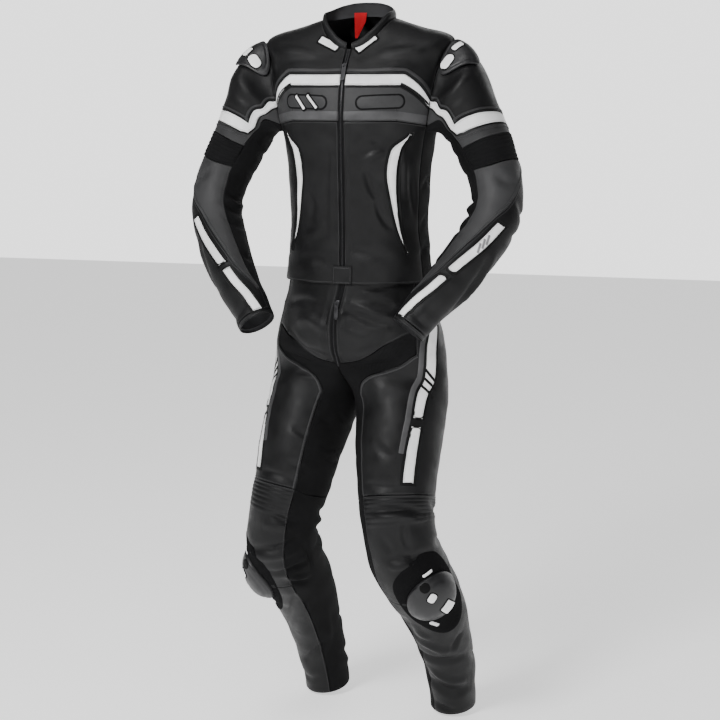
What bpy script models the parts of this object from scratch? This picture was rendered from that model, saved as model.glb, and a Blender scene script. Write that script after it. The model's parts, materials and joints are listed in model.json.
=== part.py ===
"""Two-piece leather race suit, hollow and filled out as if worn.

Metres, Z up. The front faces -Y and the wearer's left is +X. The origin is the middle of the neck
opening, on the line of the shoulder seams. The leather pieces are walls cut out of three smooth
tubes (torso, sleeve and trouser half) along seam lines, so neighbours share the line between them
and stand half a seam gap back from it on each side. The right side mirrors the left one.
"""
import math
from collections import namedtuple

import bmesh
import bpy
import numpy as np
from mathutils import Matrix, Vector

SUIT = "race_suit"

# ---------------------------------------------------------------- driving sizes
WALL = 0.002                # leather with its lining
SEAM_GAP = 0.0003           # between neighbouring pieces
ZIP_HALF = 0.005            # half of the zip that shows between the two fronts
TAB_HALF = 0.020            # half width of the flap over the lower end of the main zip
HIP_TURN = math.radians(-8)  # the trousers stand turned a little to the wearer's right
TURN_FROM = -0.50            # height where that turn starts
TURN_OVER = 0.11             # drop over which it is reached
OVERLAY_LIFT = 0.0022       # outer face of a flap above the panel it lies on
OVERLAY_WALL = 0.0016
SMALLEST_CELL = 2e-7        # a cell of less area than this is a line and is left out
SHARP = math.radians(35)

# ---------------------------------------------------------------- torso
Ring = namedtuple("Ring", "name half_width front back z_front z_side z_back")
TORSO_RINGS = [
    Ring("hem", 0.150, 0.115, 0.105, -0.522, -0.522, -0.522),
    Ring("low", 0.144, 0.113, 0.100, -0.465, -0.465, -0.465),
    Ring("waist", 0.139, 0.112, 0.098, -0.410, -0.410, -0.410),
    Ring("ribs", 0.141, 0.116, 0.106, -0.340, -0.340, -0.340),
    Ring("under_chest", 0.146, 0.120, 0.116, -0.275, -0.280, -0.280),
    Ring("armpit", 0.155, 0.122, 0.122, -0.225, -0.226, -0.225),
    Ring("chest", 0.166, 0.121, 0.124, -0.185, -0.190, -0.180),
    Ring("upper_chest", 0.176, 0.114, 0.122, -0.140, -0.135, -0.125),
    Ring("collarbone", 0.183, 0.101, 0.115, -0.110, -0.086, -0.080),
    Ring("tip", 0.190, 0.088, 0.100, -0.090, -0.044, -0.040),
    Ring("slope", 0.132, 0.079, 0.078, -0.079, -0.024, -0.012),
    Ring("neck", 0.072, 0.070, 0.055, -0.066, -0.006, 0.004),
]
TORSO_COLUMNS = 24
TORSO_SQUARENESS = 2.25

# Where the front and the back panels end at the side and the armhole, in turns from centre front.
Edge = namedtuple("Edge", "ring front back")
TORSO_EDGES = [
    Edge("hem", 0.205, 0.300),
    Edge("armpit", 0.200, 0.300),
    Edge("chest", 0.190, 0.300),
    Edge("upper_chest", 0.185, 0.295),
    Edge("collarbone", 0.200, 0.285),
    Edge("tip", 0.250, 0.250),
    Edge("neck", 0.250, 0.250),
]

# Cross seams and fold lines of the torso, by height: at centre front, at the bend of the chest
# stripe, at the side or armhole edge and at centre back. The pocket columns say where the two sides
# of the pocket trim run, as a share of the way from the zip to the edge.
Line = namedtuple("Line", "name centre bend edge back pocket_in pocket_out")
TORSO_LINES = [
    Line("hem", -0.522, -0.522, -0.522, -0.522, 0.74, 0.78),
    Line("tab", -0.487, -0.487, -0.487, -0.487, 0.74, 0.78),
    Line("pocket_low", -0.462, -0.462, -0.462, -0.462, 0.73, 0.76),
    Line("belly", -0.415, -0.415, -0.415, -0.415, 0.62, 0.69),
    Line("waist", -0.360, -0.360, -0.360, -0.360, 0.53, 0.63),
    Line("ribs", -0.305, -0.305, -0.305, -0.305, 0.47, 0.62),
    Line("pocket_bulge", -0.262, -0.262, -0.262, -0.262, 0.51, 0.66),
    Line("armpit", -0.232, -0.232, -0.226, -0.222, 0.73, 0.78),
    Line("grey_low", -0.205, -0.205, -0.214, -0.190, 0.54, 0.54),
    Line("chest", -0.168, -0.168, -0.198, -0.150, 0.54, 0.54),
    Line("stripe_low", -0.136, -0.136, -0.179, -0.118, 0.54, 0.54),
    Line("stripe_top", -0.115, -0.115, -0.166, -0.090, 0.54, 0.54),
    Line("yoke", -0.100, -0.096, -0.112, -0.062, 0.54, 0.54),
]
DOME_LINES = ("tip", "slope", "neck")   # above these the lines are rings of the shoulder itself
STRIPE_BEND = 0.54                      # share of the front where the chest stripe turns down
FRONT_SHARE = 0.30                      # where the middle fold line of the front runs
BACK_COLUMNS = 4
SIDE_FRONT, SIDE_MID, SIDE_BACK, CENTRE_BACK = 5, 6, 7, 11

# ---------------------------------------------------------------- collar
COLLAR_HEIGHTS = (0.012, 0.015, 0.018, 0.016, 0.016, 0.014, 0.018, 0.022, 0.024, 0.024)
COLLAR_LEAN = -0.15         # outward lean as a share of the height
COLLAR_ROWS = 2

# ---------------------------------------------------------------- sleeve
Station = namedtuple("Station", "name x y z half_width half_depth tilt", defaults=(0,))
SLEEVE_STATIONS = [             # tilt: degrees that the outer end of a ring is raised
    Station("head", 0.209, -0.010, -0.160, 0.080, 0.068, 36),
    Station("biceps", 0.242, -0.006, -0.222, 0.060, 0.062, 12),
    Station("above_elbow", 0.266, -0.012, -0.275, 0.055, 0.056),
    Station("elbow", 0.288, -0.027, -0.330, 0.052, 0.053),
    Station("below_elbow", 0.289, -0.052, -0.392, 0.051, 0.051),
    Station("forearm", 0.256, -0.094, -0.458, 0.049, 0.048),
    Station("wrist", 0.207, -0.142, -0.528, 0.042, 0.041),
    Station("cuff_top", 0.178, -0.162, -0.564, 0.039, 0.037),
    Station("cuff", 0.154, -0.178, -0.598, 0.037, 0.035),
]
SLEEVE_COLUMNS = 14

# Long seams of the sleeve, in degrees round the arm from the underarm (90 is the front and 180 the
# outside), for places along the sleeve counted in stations from the armhole.
SleeveSeam = namedtuple("SleeveSeam", "at stretch_front stripe_in stripe_out grey_back strip_in"
                        " strip_out stretch_back")
ARMHOLE_STEP = 360 / SLEEVE_COLUMNS
SLEEVE_SEAMS = [
    SleeveSeam(0.00, *(ARMHOLE_STEP * k for k in (2, 4, 5, 8, 9, 10, 13))),
    SleeveSeam(0.35, 64, 77, 88, 200, 225, 255, 332),
    SleeveSeam(0.90, 44, 53, 64, 200, 225, 255, 330),
    SleeveSeam(1.45, 46, 54, 65, 200, 225, 255, 328),
    SleeveSeam(1.95, 58, 65, 78, 200, 225, 255, 326),
    SleeveSeam(3.40, 62, 76, 96, 205, 225, 255, 322),
    SleeveSeam(4.20, 55, 80, 108, 165, 185, 212, 320),
    SleeveSeam(5.10, 48, 62, 84, 108, 118, 140, 318),
    SleeveSeam(5.90, 37, 50, 66, 82, 95, 118, 318),
    SleeveSeam(6.75, 27, 36, 46, 56, 68, 92, 318),
    SleeveSeam(7.80, 8, 11, 14, 17, 46, 74, 318),
    SleeveSeam(9.00, 8, 12, 16, 20, 30, 62, 318),
]
SEAM_COLUMNS = (2, 4, 5, 8, 9, 10, 13)

# Cross seams of the sleeve, in stations from the armhole, at four places round the arm.
SleeveLine = namedtuple("SleeveLine", "name inner front outer back")
SLEEVE_LINES = [
    SleeveLine("armhole", 0.00, 0.00, 0.00, 0.00),
    SleeveLine("head", 0.45, 0.70, 0.80, 0.80),
    SleeveLine("stripe_top", 0.90, 1.66, 2.08, 2.08),
    SleeveLine("stripe_low", 1.30, 2.03, 2.32, 2.32),
    SleeveLine("band_low", 2.30, 2.52, 2.62, 2.62),
    SleeveLine("ribs_low", 3.40, 3.55, 3.38, 3.30),
    SleeveLine("upper_arm", 4.10, 4.15, 4.05, 3.95),
    SleeveLine("bend_top", 4.70, 4.75, 4.70, 4.65),
    SleeveLine("strip_start", 5.25, 5.25, 5.25, 5.25),
    SleeveLine("bend_low", 5.90, 5.90, 5.90, 5.90),
    SleeveLine("strip_gap_top", 6.62, 6.62, 6.62, 6.62),
    SleeveLine("strip_gap_low", 6.76, 6.76, 6.76, 6.76),
    SleeveLine("lower_arm", 7.75, 7.75, 7.75, 7.75),
    SleeveLine("cuff_top", 8.78, 8.78, 8.78, 8.78),
    SleeveLine("cuff", 9.00, 9.00, 9.00, 9.00),
]

# ---------------------------------------------------------------- trousers
TRUNK_RINGS = [
    Ring("waist", 0.1410, 0.1075, 0.0965, -0.500, -0.500, -0.500),
    Ring("belly", 0.1515, 0.1125, 0.1065, -0.547, -0.547, -0.547),
    Ring("hip", 0.166, 0.120, 0.124, -0.595, -0.595, -0.595),
    Ring("seat", 0.180, 0.117, 0.132, -0.650, -0.650, -0.650),
    Ring("crotch", 0.189, 0.098, 0.118, -0.690, -0.715, -0.700),
]
FORK_RING = 4               # the ring where the two halves part
CROTCH_DROP = 0.036         # how far the fork hangs below the ends of the two rises
TRUNK_COLUMNS = 11          # from centre front round the side to centre back
FORK_COLUMNS = 5            # across the fork, from centre back to centre front
LEG_STATIONS = [
    Station("thigh_top", 0.099, -0.012, -0.780, 0.091, 0.098),
    Station("thigh", 0.109, -0.050, -0.862, 0.084, 0.092),
    Station("thigh_low", 0.118, -0.074, -0.940, 0.077, 0.083),
    Station("above_knee", 0.129, -0.088, -1.002, 0.072, 0.078),
    Station("knee", 0.139, -0.080, -1.064, 0.073, 0.078),
    Station("below_knee", 0.146, -0.034, -1.122, 0.071, 0.077),
    Station("calf_top", 0.149, 0.016, -1.174, 0.068, 0.072),
    Station("calf", 0.152, 0.058, -1.232, 0.063, 0.066),
    Station("calf_low", 0.153, 0.092, -1.290, 0.057, 0.060),
    Station("shin_low", 0.154, 0.119, -1.346, 0.053, 0.055),
    Station("ankle", 0.152, 0.138, -1.404, 0.049, 0.051),
    Station("hem", 0.151, 0.147, -1.442, 0.048, 0.050),
]

# Long seams of the side stripes, in columns round the trouser half from centre front.
LegSeam = namedtuple("LegSeam", "at grey_front stripe_front stripe_back")
LEG_SEAMS = [
    LegSeam(0.0, 4.00, 5.10, 6.00),
    LegSeam(2.3, 3.75, 4.70, 5.55),
    LegSeam(3.4, 3.35, 3.85, 4.65),
    LegSeam(4.6, 3.10, 3.52, 4.22),
    LegSeam(5.5, 2.98, 3.45, 4.05),
    LegSeam(6.2, 2.85, 3.24, 3.92),
    LegSeam(6.9, 2.70, 3.08, 3.82),
    LegSeam(8.0, 2.90, 3.50, 4.20),
    LegSeam(16.0, 3.30, 3.90, 4.50),
]

# Cross seams of the trouser half, in rings from the waist, at centre front (or the inner front of
# the leg), over the groin, at the side, at centre back (or the inner back) and inside the leg.
LegLine = namedtuple("LegLine", "name front groin side back inner")
GROIN_COLUMN = 1.3
LEG_LINES = [
    LegLine("waist", 0.00, 0.00, 0.00, 0.00, 4.0),
    LegLine("belly", 0.80, 0.80, 0.75, 0.80, 4.0),
    LegLine("stripe_start", 1.80, 1.60, 1.55, 1.70, 4.0),
    LegLine("hip", 2.90, 2.30, 1.95, 2.60, 4.0),
    LegLine("band_top", 4.00, 3.00, 2.32, 3.40, 4.0),
    LegLine("band_low", 4.90, 4.20, 2.95, 4.00, 4.0),
    LegLine("thigh_top", 5.20, 4.90, 4.20, 4.60, 4.6),
    LegLine("stripe_gap_top", 5.60, 5.52, 5.46, 5.40, 5.3),
    LegLine("stripe_gap_low", 5.80, 5.68, 5.62, 5.60, 5.6),
    LegLine("thigh_low", 6.35, 6.25, 6.20, 6.30, 6.3),
    LegLine("stripe_end", 6.85, 6.85, 6.85, 6.90, 6.9),
    LegLine("accordion_top", 7.12, 7.12, 7.12, 7.20, 7.2),
    LegLine("accordion_low", 7.90, 7.90, 7.90, 7.95, 7.9),
    LegLine("knee", 8.80, 8.80, 8.80, 8.80, 8.8),
    LegLine("knee_low", 9.80, 9.80, 9.80, 9.80, 9.8),
    LegLine("shin_top", 10.80, 10.80, 10.80, 10.80, 10.8),
    LegLine("shin", 12.20, 12.20, 12.20, 12.20, 12.2),
    LegLine("shin_low", 13.80, 13.80, 13.80, 13.80, 13.8),
    LegLine("hem", 16.00, 16.00, 16.00, 16.00, 16.0),
]

# ---------------------------------------------------------------- hard pieces
DomeSize = namedtuple("DomeSize", "half_length half_width lift rim rise")
CAP_SIZE = DomeSize(0.036, 0.042, 0.0030, 0.0030, 0.006)
CAP_AT = (164 / 360, 0.56)  # turns round the sleeve from the underarm, stations from the armhole
SLIDER_SIZE = DomeSize(0.060, 0.058, 0.0008, 0.0060, 0.020)
SLIDER_AT = (3.66 / 16, 9.95)   # turns round the trouser half, rings from the waist
DOME_SPOKES, DOME_RINGS = 20, 4
DOME_POWER = 2.4                    # how flat its crown is
ZIP_SLIDER = (0.009, 0.0045, 0.014)     # width, thickness and height of a zip's slider
SLIDER_DEPTH = 0.0005                   # how far its middle lies inside the zip's face
LUG = (0.003, 0.0034, 0.006)            # lug on the slider that the pull's fork straddles
LUG_ROOT = 0.001                        # how deep the lug stands in the slider
HINGE_STAND, HINGE_RISE = 0.0035, 0.002     # the pull's axis before and above the zip's face
PULL_LENGTH, PULL_WIDTH, PULL_WALL = 0.034, 0.0085, 0.0018
FORK_DEPTH, FORK_TOP = 0.006, 0.0012    # of the fork, below and above the hinge
LABEL = (0.026, 0.050, 0.0008)          # width at the top, length and thickness of the neck label
LABEL_TOP = (-0.014, 0.0478, 0.008)     # middle of its top edge
LABEL_SHAPE = ((-0.50, 0.00), (0.50, 0.00), (0.42, -0.35), (-0.25, -1.00), (-0.46, -1.00))
FLY_HALF = 0.006
FLY_TO_LINE = 4                     # the fly ends at this cross seam

# ---------------------------------------------------------------- finishes: colour, roughness, metallic
FINISHES = {
    "black_leather": ((0.020, 0.020, 0.021), 0.50, 0.0),
    "grey_leather": ((0.055, 0.055, 0.057), 0.55, 0.0),
    "white_leather": ((0.80, 0.80, 0.80), 0.50, 0.0),
    "stretch": ((0.010, 0.010, 0.011), 0.85, 0.0),
    "hard_plastic": ((0.012, 0.012, 0.013), 0.35, 0.0),
    "zip_metal": ((0.030, 0.030, 0.032), 0.40, 0.6),
    "red_label": ((0.60, 0.02, 0.03), 0.75, 0.0),
}
FINISH_OF = {
    "chest": "grey_leather", "chest_stripe": "white_leather", "pocket_trim": "white_leather",
    "side": "stretch", "sleeve_stripe": "white_leather", "sleeve_band": "grey_leather",
    "sleeve_ribs": "stretch", "elbow": "grey_leather", "sleeve_inner": "stretch",
    "forearm_stripe_upper": "white_leather", "forearm_stripe_lower": "white_leather",
    "groin": "stretch", "calf": "stretch", "side_stripe_upper": "white_leather",
    "side_stripe_lower": "white_leather", "shoulder_cap": "hard_plastic",
    "knee_slider": "hard_plastic", "main_zip": "zip_metal", "main_zip_pull": "zip_metal",
    "fly": "zip_metal", "fly_pull": "zip_metal", "neck_label": "red_label",
}


# ---------------------------------------------------------------- smooth tubes
def blend(t):
    """Weights of the four points of a Catmull-Rom curve at t between the middle two."""
    return np.array([-t + 2 * t * t - t ** 3, 2 - 5 * t * t + 3 * t ** 3,
                     t + 4 * t * t - 3 * t ** 3, t ** 3 - t * t]) / 2


class Tube:
    """Smooth surface through closed loops: u in turns round a loop, v in loops along the tube."""

    def __init__(self, loops):
        loops = np.array(loops, float)
        before = 2 * loops[0] - loops[1]
        after = 2 * loops[-1] - loops[-2]
        self.loops = np.concatenate([before[None], loops, after[None]])
        self.last = len(loops) - 1
        self.columns = loops.shape[1]

    def point(self, u, v):
        column, across = divmod(u % 1.0 * self.columns, 1.0)
        row = min(int(v), self.last - 1)
        picked = [(int(column) + k) % self.columns for k in (-1, 0, 1, 2)]
        return np.einsum("i,j,ijk->k", blend(v - row), blend(across),
                         self.loops[row:row + 4][:, picked])


def oval_point(ring, angle, squareness=2.0):
    """A point of a torso or trunk ring at an angle from centre front."""
    across, ahead = math.sin(angle), math.cos(angle)
    power = 2 / squareness
    x = ring.half_width * math.copysign(abs(across) ** power, across)
    depth = ring.front if ahead > 0 else ring.back
    y = -depth * math.copysign(abs(ahead) ** power, ahead)
    z_end = ring.z_front if ahead > 0 else ring.z_back
    return (x, y, ring.z_side + (z_end - ring.z_side) * ahead * ahead)


def torso_tube():
    angles = [math.tau * k / TORSO_COLUMNS for k in range(TORSO_COLUMNS)]
    return Tube([[oval_point(ring, a, TORSO_SQUARENESS) for a in angles] for ring in TORSO_RINGS])


def station_loop(stations, index, angles):
    """A ring square to the limb's centre line. Angles run from the front towards the outside."""
    here = stations[index]
    ahead = stations[min(index + 1, len(stations) - 1)]
    behind = stations[max(index - 1, 0)]
    centre = np.array([here.x, here.y, here.z])
    along = np.array([ahead.x - behind.x, ahead.y - behind.y, ahead.z - behind.z])
    along /= np.linalg.norm(along)
    deep = np.array([0.0, 1.0, 0.0]) - along[1] * along
    deep /= np.linalg.norm(deep)
    out = np.cross(along, deep)
    tilt = math.radians(here.tilt)
    out = out * math.cos(tilt) - along * math.sin(tilt)
    return [centre + out * here.half_width * math.sin(a) - deep * here.half_depth * math.cos(a)
            for a in angles]


def sleeve_tube(armhole):
    angles = [math.radians(ARMHOLE_STEP * k - 90) for k in range(SLEEVE_COLUMNS)]
    rings = [station_loop(SLEEVE_STATIONS, i, angles) for i in range(len(SLEEVE_STATIONS))]
    return Tube([armhole] + rings)


def trunk_loop(ring, drop):
    """Half a trunk ring, from centre front round the side, closed along the plane between the legs."""
    half = [oval_point(ring, math.pi * k / TRUNK_COLUMNS) for k in range(TRUNK_COLUMNS + 1)]
    half[0], half[-1] = (0.0, *half[0][1:]), (0.0, *half[-1][1:])
    back, front = np.array(half[-1]), np.array(half[0])
    fork = []
    for k in range(1, FORK_COLUMNS):
        share = k / FORK_COLUMNS
        sag = drop * math.sin(math.pi * share) ** 0.5
        fork.append(back + (front - back) * share - np.array([0.0, 0.0, sag]))
    return half + fork


def trouser_tube():
    columns = TRUNK_COLUMNS + FORK_COLUMNS
    step = math.tau / columns
    first = -math.pi / 2 + FORK_COLUMNS * step / 2
    angles = [first + step * k for k in range(columns)]
    loops = [trunk_loop(ring, CROTCH_DROP if ring.name == "crotch" else 0.0)
             for ring in TRUNK_RINGS]
    loops += [station_loop(LEG_STATIONS, i, angles) for i in range(len(LEG_STATIONS))]
    return Tube(loops)


# ---------------------------------------------------------------- grids of seam lines
def solve(function, target, low, high):
    """Where a rising function reaches a target, by halving."""
    for _ in range(40):
        middle = (low + high) / 2
        if function(middle) < target:
            low = middle
        else:
            high = middle
    return (low + high) / 2


def ring_number(name):
    return [ring.name for ring in TORSO_RINGS].index(name)


def torso_turn(tube, column, line, v):
    """Where a long line of the left half runs, in turns, at a place v up the torso."""
    places = [ring_number(edge.ring) for edge in TORSO_EDGES]
    front = float(np.interp(v, places, [edge.front for edge in TORSO_EDGES]))
    back = float(np.interp(v, places, [edge.back for edge in TORSO_EDGES]))
    if column >= SIDE_BACK:
        return back + (0.5 - back) * (column - SIDE_BACK) / BACK_COLUMNS
    if column == SIDE_MID:
        return (front + back) / 2
    zip_edge, tab_edge = (solve(lambda u: tube.point(u, v)[0], x, 0.0, 0.15)
                          for x in (ZIP_HALF, TAB_HALF))
    pocket = TORSO_LINES[line] if line < len(TORSO_LINES) else TORSO_LINES[-1]
    shares = (0.0, 0.0, FRONT_SHARE, pocket.pocket_in, pocket.pocket_out, 1.0)
    return tab_edge if column == 1 else zip_edge + (front - zip_edge) * shares[column]


def line_height(line, column):
    """The height that a cross line of the torso has where it meets a long line."""
    if column >= SIDE_BACK:
        return line.edge + (line.back - line.edge) * (column - SIDE_BACK) / BACK_COLUMNS
    shares = (0.0, 0.12, FRONT_SHARE, line.pocket_in, line.pocket_out, 1.0, 1.0)
    return float(np.interp(shares[column], (0.0, STRIPE_BEND, 1.0),
                           (line.centre, line.bend, line.edge)))


def torso_grid(tube):
    """Points of the left half: [long line][cross line]."""
    top = ring_number("tip")
    grid = []
    for column in range(CENTRE_BACK + 1):
        points = []
        for number, line in enumerate(TORSO_LINES):
            v = solve(lambda v: tube.point(torso_turn(tube, column, number, v), v)[2],
                      line_height(line, column), 0.0, top)
            points.append(tube.point(torso_turn(tube, column, number, v), v))
        for name in DOME_LINES:
            v = ring_number(name)
            points.append(tube.point(torso_turn(tube, column, len(TORSO_LINES), v), v))
        grid.append(points)
    for point in grid[CENTRE_BACK]:
        point[0] = 0.0
    return grid


def armhole_loop(grid):
    """The armhole from the underarm up the front to the tip and down the back."""
    low = [line.name for line in TORSO_LINES].index("armpit")
    tip = len(TORSO_LINES)
    front = [grid[SIDE_FRONT][row] for row in range(low, tip + 1)]
    back = [grid[SIDE_BACK][row] for row in range(tip - 1, low - 1, -1)]
    return [grid[SIDE_MID][low]] + front + back


def sleeve_turn(column, at):
    """Where a long line of the sleeve runs, in turns from the underarm."""
    places = [seam.at for seam in SLEEVE_SEAMS]
    known = [(0, 0.0)]
    for number, name in zip(SEAM_COLUMNS, SleeveSeam._fields[1:]):
        known.append((number, float(np.interp(at, places, [getattr(s, name) for s in SLEEVE_SEAMS]))))
    known.append((SLEEVE_COLUMNS, 360.0))
    return float(np.interp(column, *zip(*known))) / 360


def sleeve_grid(tube):
    """Points of the left sleeve: [long line][cross line]. The first line is the armhole itself."""
    grid = []
    for column in range(SLEEVE_COLUMNS):
        points = []
        for line in SLEEVE_LINES:
            v = (line.inner, line.front, line.outer, line.back, line.inner)
            quarter = [0, 0.25, 0.5, 0.75, 1.0]
            turn = sleeve_turn(column, float(np.interp(column / SLEEVE_COLUMNS, quarter, v)))
            place = float(np.interp(turn, quarter, v))
            points.append(tube.point(sleeve_turn(column, place), place))
        grid.append(points)
    return grid


def leg_column(number, at):
    """Where a long line of the trouser half runs, in columns from centre front."""
    places = [seam.at for seam in LEG_SEAMS]
    known = [0.0]
    for name in LegSeam._fields[1:]:
        known.append(float(np.interp(at, places, [getattr(s, name) for s in LEG_SEAMS])))
    known.append(float(TRUNK_COLUMNS))
    return float(np.interp(number, (0, 3, 4, 5, TRUNK_COLUMNS), known))


def leg_grid(tube):
    """Points of the left trouser half: [long line][cross line]."""
    columns = TRUNK_COLUMNS + FORK_COLUMNS
    grid = []
    for number in range(columns):
        points = []
        for row, line in enumerate(LEG_LINES):
            if number > TRUNK_COLUMNS:
                ends = (line.back, line.inner, line.inner, line.inner, line.inner, line.front)
                place = max(ends[number - TRUNK_COLUMNS], FORK_RING)
                column = number
            else:
                column = leg_column(number, line.side)
                if number == 1 and row <= FLY_TO_LINE:
                    column = solve(lambda c: tube.point(c / columns, line.front)[0], FLY_HALF, 0, 2)
                place = float(np.interp(column, (0, GROIN_COLUMN, 4, 7, TRUNK_COLUMNS),
                                        (line.front, line.groin, line.side, line.side, line.back)))
            point = tube.point(column / columns, place)
            if place <= FORK_RING and not 0 < number < TRUNK_COLUMNS:
                point[0] = 0.0
            points.append(point)
        grid.append(points)
    return grid


def turned(point, side=1):
    """A trouser point on the left (1) or right (-1) with the stance's turn, which grows from the
    waist down."""
    share = min(max((TURN_FROM - point[2]) / TURN_OVER, 0.0), 1.0)
    angle = HIP_TURN * share * share * (3 - 2 * share)
    x, y = point[0] * side, point[1]
    return np.array([x * math.cos(angle) - y * math.sin(angle),
                     x * math.sin(angle) + y * math.cos(angle), point[2]])


# ---------------------------------------------------------------- pieces as lists of cells
def block(grid, columns, rows, facing=1, wrap=False):
    """The cells between two long lines and two cross lines. With facing 1 they face outwards on the
    left half if the rows run up, with -1 if they run down; the right half takes the other sign."""
    count = len(grid)
    cells = []
    for i in range(*columns):
        for j in range(*rows):
            right = (i + 1) % count if wrap else i + 1
            corners = [grid[i % count][j], grid[right][j], grid[right][j + 1], grid[i % count][j + 1]]
            cells.append(corners if facing > 0 else corners[:1] + corners[:0:-1])
    return cells


def mirrored(grid):
    return [[np.array([-p[0], p[1], p[2]]) for p in column] for column in grid]


def key(point):
    return tuple(int(round(c * 2e4)) for c in point)


def real_cells(cells):
    """Cells with their welded corners, without those that are only a line."""
    kept = []
    for cell in cells:
        corners = []
        for point in cell:
            if not corners or key(point) != key(corners[-1]):
                corners.append(point)
        if len(corners) > 1 and key(corners[0]) == key(corners[-1]):
            corners.pop()
        if len(corners) < 3:
            continue
        fan = sum(np.linalg.norm(np.cross(corners[k] - corners[0], corners[k + 1] - corners[0]))
                  for k in range(1, len(corners) - 1))
        if fan / 2 > SMALLEST_CELL:
            kept.append(corners)
    return kept


def triangles_of(cell):
    return [(cell[0], cell[k], cell[k + 1]) for k in range(1, len(cell) - 1)]


def shared_normals(pieces):
    """One normal for each corner of the garment, from all the cells that meet there by their angle."""
    totals = {}
    for cells in pieces.values():
        for cell in cells:
            for a, b, c in triangles_of(cell):
                face = np.cross(b - a, c - a)
                face /= np.linalg.norm(face)
                for corner, ahead, behind in ((a, b, c), (b, c, a), (c, a, b)):
                    angle = Vector(ahead - corner).angle(Vector(behind - corner))
                    totals[key(corner)] = totals.get(key(corner), 0) + face * angle
    return {k: n / np.linalg.norm(n) for k, n in totals.items()}


def seam_step(vertex, amount):
    """How far a corner on a piece's edge stands back from the seam."""
    inward = []
    for edge in vertex.link_edges:
        if not edge.is_boundary:
            continue
        face = edge.link_faces[0]
        across = face.normal.cross(edge.verts[1].co - edge.verts[0].co).normalized()
        middle = (edge.verts[0].co + edge.verts[1].co) / 2
        if across.dot(face.calc_center_median() - middle) < 0:
            across = -across
        inward.append(across)
    if not inward:
        return Vector()
    total = sum(inward, Vector())
    spread = max(1 + inward[0].dot(inward[-1]), 0.5)
    return total * (amount / spread if len(inward) > 1 else amount)


def wall(name, cells, normals, lift=0.0, thickness=WALL):
    """A wall of even thickness on a set of cells, its edges half a seam gap back from the seams."""
    sheet = bmesh.new()
    corners = {}
    for cell in cells:
        for triangle in triangles_of(cell):
            for point in triangle:
                if key(point) not in corners:
                    corners[key(point)] = sheet.verts.new(point)
            sheet.faces.new([corners[key(point)] for point in triangle])
    sheet.normal_update()
    steps = {k: seam_step(v, SEAM_GAP / 2) for k, v in corners.items()}
    shell = bmesh.new()
    outer, inner = {}, {}
    order = {vertex: k for k, vertex in corners.items()}
    for k, vertex in corners.items():
        normal = Vector(normals[k])
        place = vertex.co + steps[k] + normal * lift
        outer[vertex] = shell.verts.new(place)
        inner[vertex] = shell.verts.new(place - normal * thickness)
    for face in sheet.faces:
        shell.faces.new([outer[v] for v in face.verts])
        shell.faces.new([inner[v] for v in reversed(face.verts)])
    for edge in sheet.edges:
        if edge.is_boundary:
            loop = edge.link_loops[0]
            a, b = loop.vert, loop.link_loop_next.vert
            rim = [outer[b], outer[a], inner[a], inner[b]]
            if order[a] > order[b]:     # both pieces at a seam split their rims the same way
                rim = rim[1:] + rim[:1]
            shell.faces.new([rim[0], rim[1], rim[3]])
            shell.faces.new([rim[1], rim[2], rim[3]])
    sheet.free()
    return add_object(name, shell)


# ---------------------------------------------------------------- objects
def finish_of(name):
    plain = name.removesuffix("_left").removesuffix("_right")
    return FINISH_OF.get(plain, "black_leather")


def material(name):
    finish = finish_of(name)
    found = bpy.data.materials.get(finish)
    if found:
        return found
    colour, roughness, metallic = FINISHES[finish]
    made = bpy.data.materials.new(finish)
    made.use_nodes = True
    shader = made.node_tree.nodes["Principled BSDF"]
    shader.inputs["Base Color"].default_value = (*colour, 1.0)
    shader.inputs["Roughness"].default_value = roughness
    shader.inputs["Metallic"].default_value = metallic
    return made


def collection(name):
    found = bpy.data.collections.get(name)
    if not found:
        found = bpy.data.collections.new(name)
        bpy.context.scene.collection.children.link(found)
    return found


def add_object(name, shape, group=SUIT):
    """An object with its own mesh, in the suit's collection or among the cutters."""
    mesh = bpy.data.meshes.new(name)
    shape.to_mesh(mesh)
    shape.free()
    mesh.shade_smooth()
    mesh.set_sharp_from_angle(angle=SHARP)
    made = bpy.data.objects.new(name, mesh)
    collection(group).objects.link(made)
    if group == SUIT:
        mesh.materials.append(material(name))
    else:
        made.hide_render = True
        made.display_type = "WIRE"
    return made


def clear_scene():
    for thing in list(bpy.data.objects):
        bpy.data.objects.remove(thing)
    for group in list(bpy.data.collections):
        bpy.data.collections.remove(group)


# ---------------------------------------------------------------- the jacket
def torso_rows():
    names = [line.name for line in TORSO_LINES] + list(DOME_LINES)
    return {name: number for number, name in enumerate(names)}


def jacket_half(grid, side):
    row = torso_rows()
    top = row["neck"]
    pocket_rows = range(row["pocket_low"], row["armpit"])
    front = [cell for columns in ((0, 3), (4, 5)) for cell in
             block(grid, columns, (row["hem"], row["grey_low"]), side)]
    front += block(grid, (3, 4), (row["hem"], row["pocket_low"]), side)
    front += block(grid, (3, 4), (row["armpit"], row["grey_low"]), side)
    return {
        "front": front,
        "pocket_trim": block(grid, (3, 4), (pocket_rows[0], pocket_rows[-1] + 1), side),
        "chest": block(grid, (0, 5), (row["grey_low"], row["stripe_low"]), side),
        "chest_stripe": block(grid, (0, 5), (row["stripe_low"], row["stripe_top"]), side),
        "yoke": block(grid, (0, 5), (row["stripe_top"], top), side),
        "side": block(grid, (SIDE_FRONT, SIDE_BACK), (row["hem"], row["armpit"]), side),
    }


def back_cells(grid, side):
    row = torso_rows()
    return block(grid, (SIDE_BACK, CENTRE_BACK), (row["hem"], row["neck"]), side)


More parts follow.
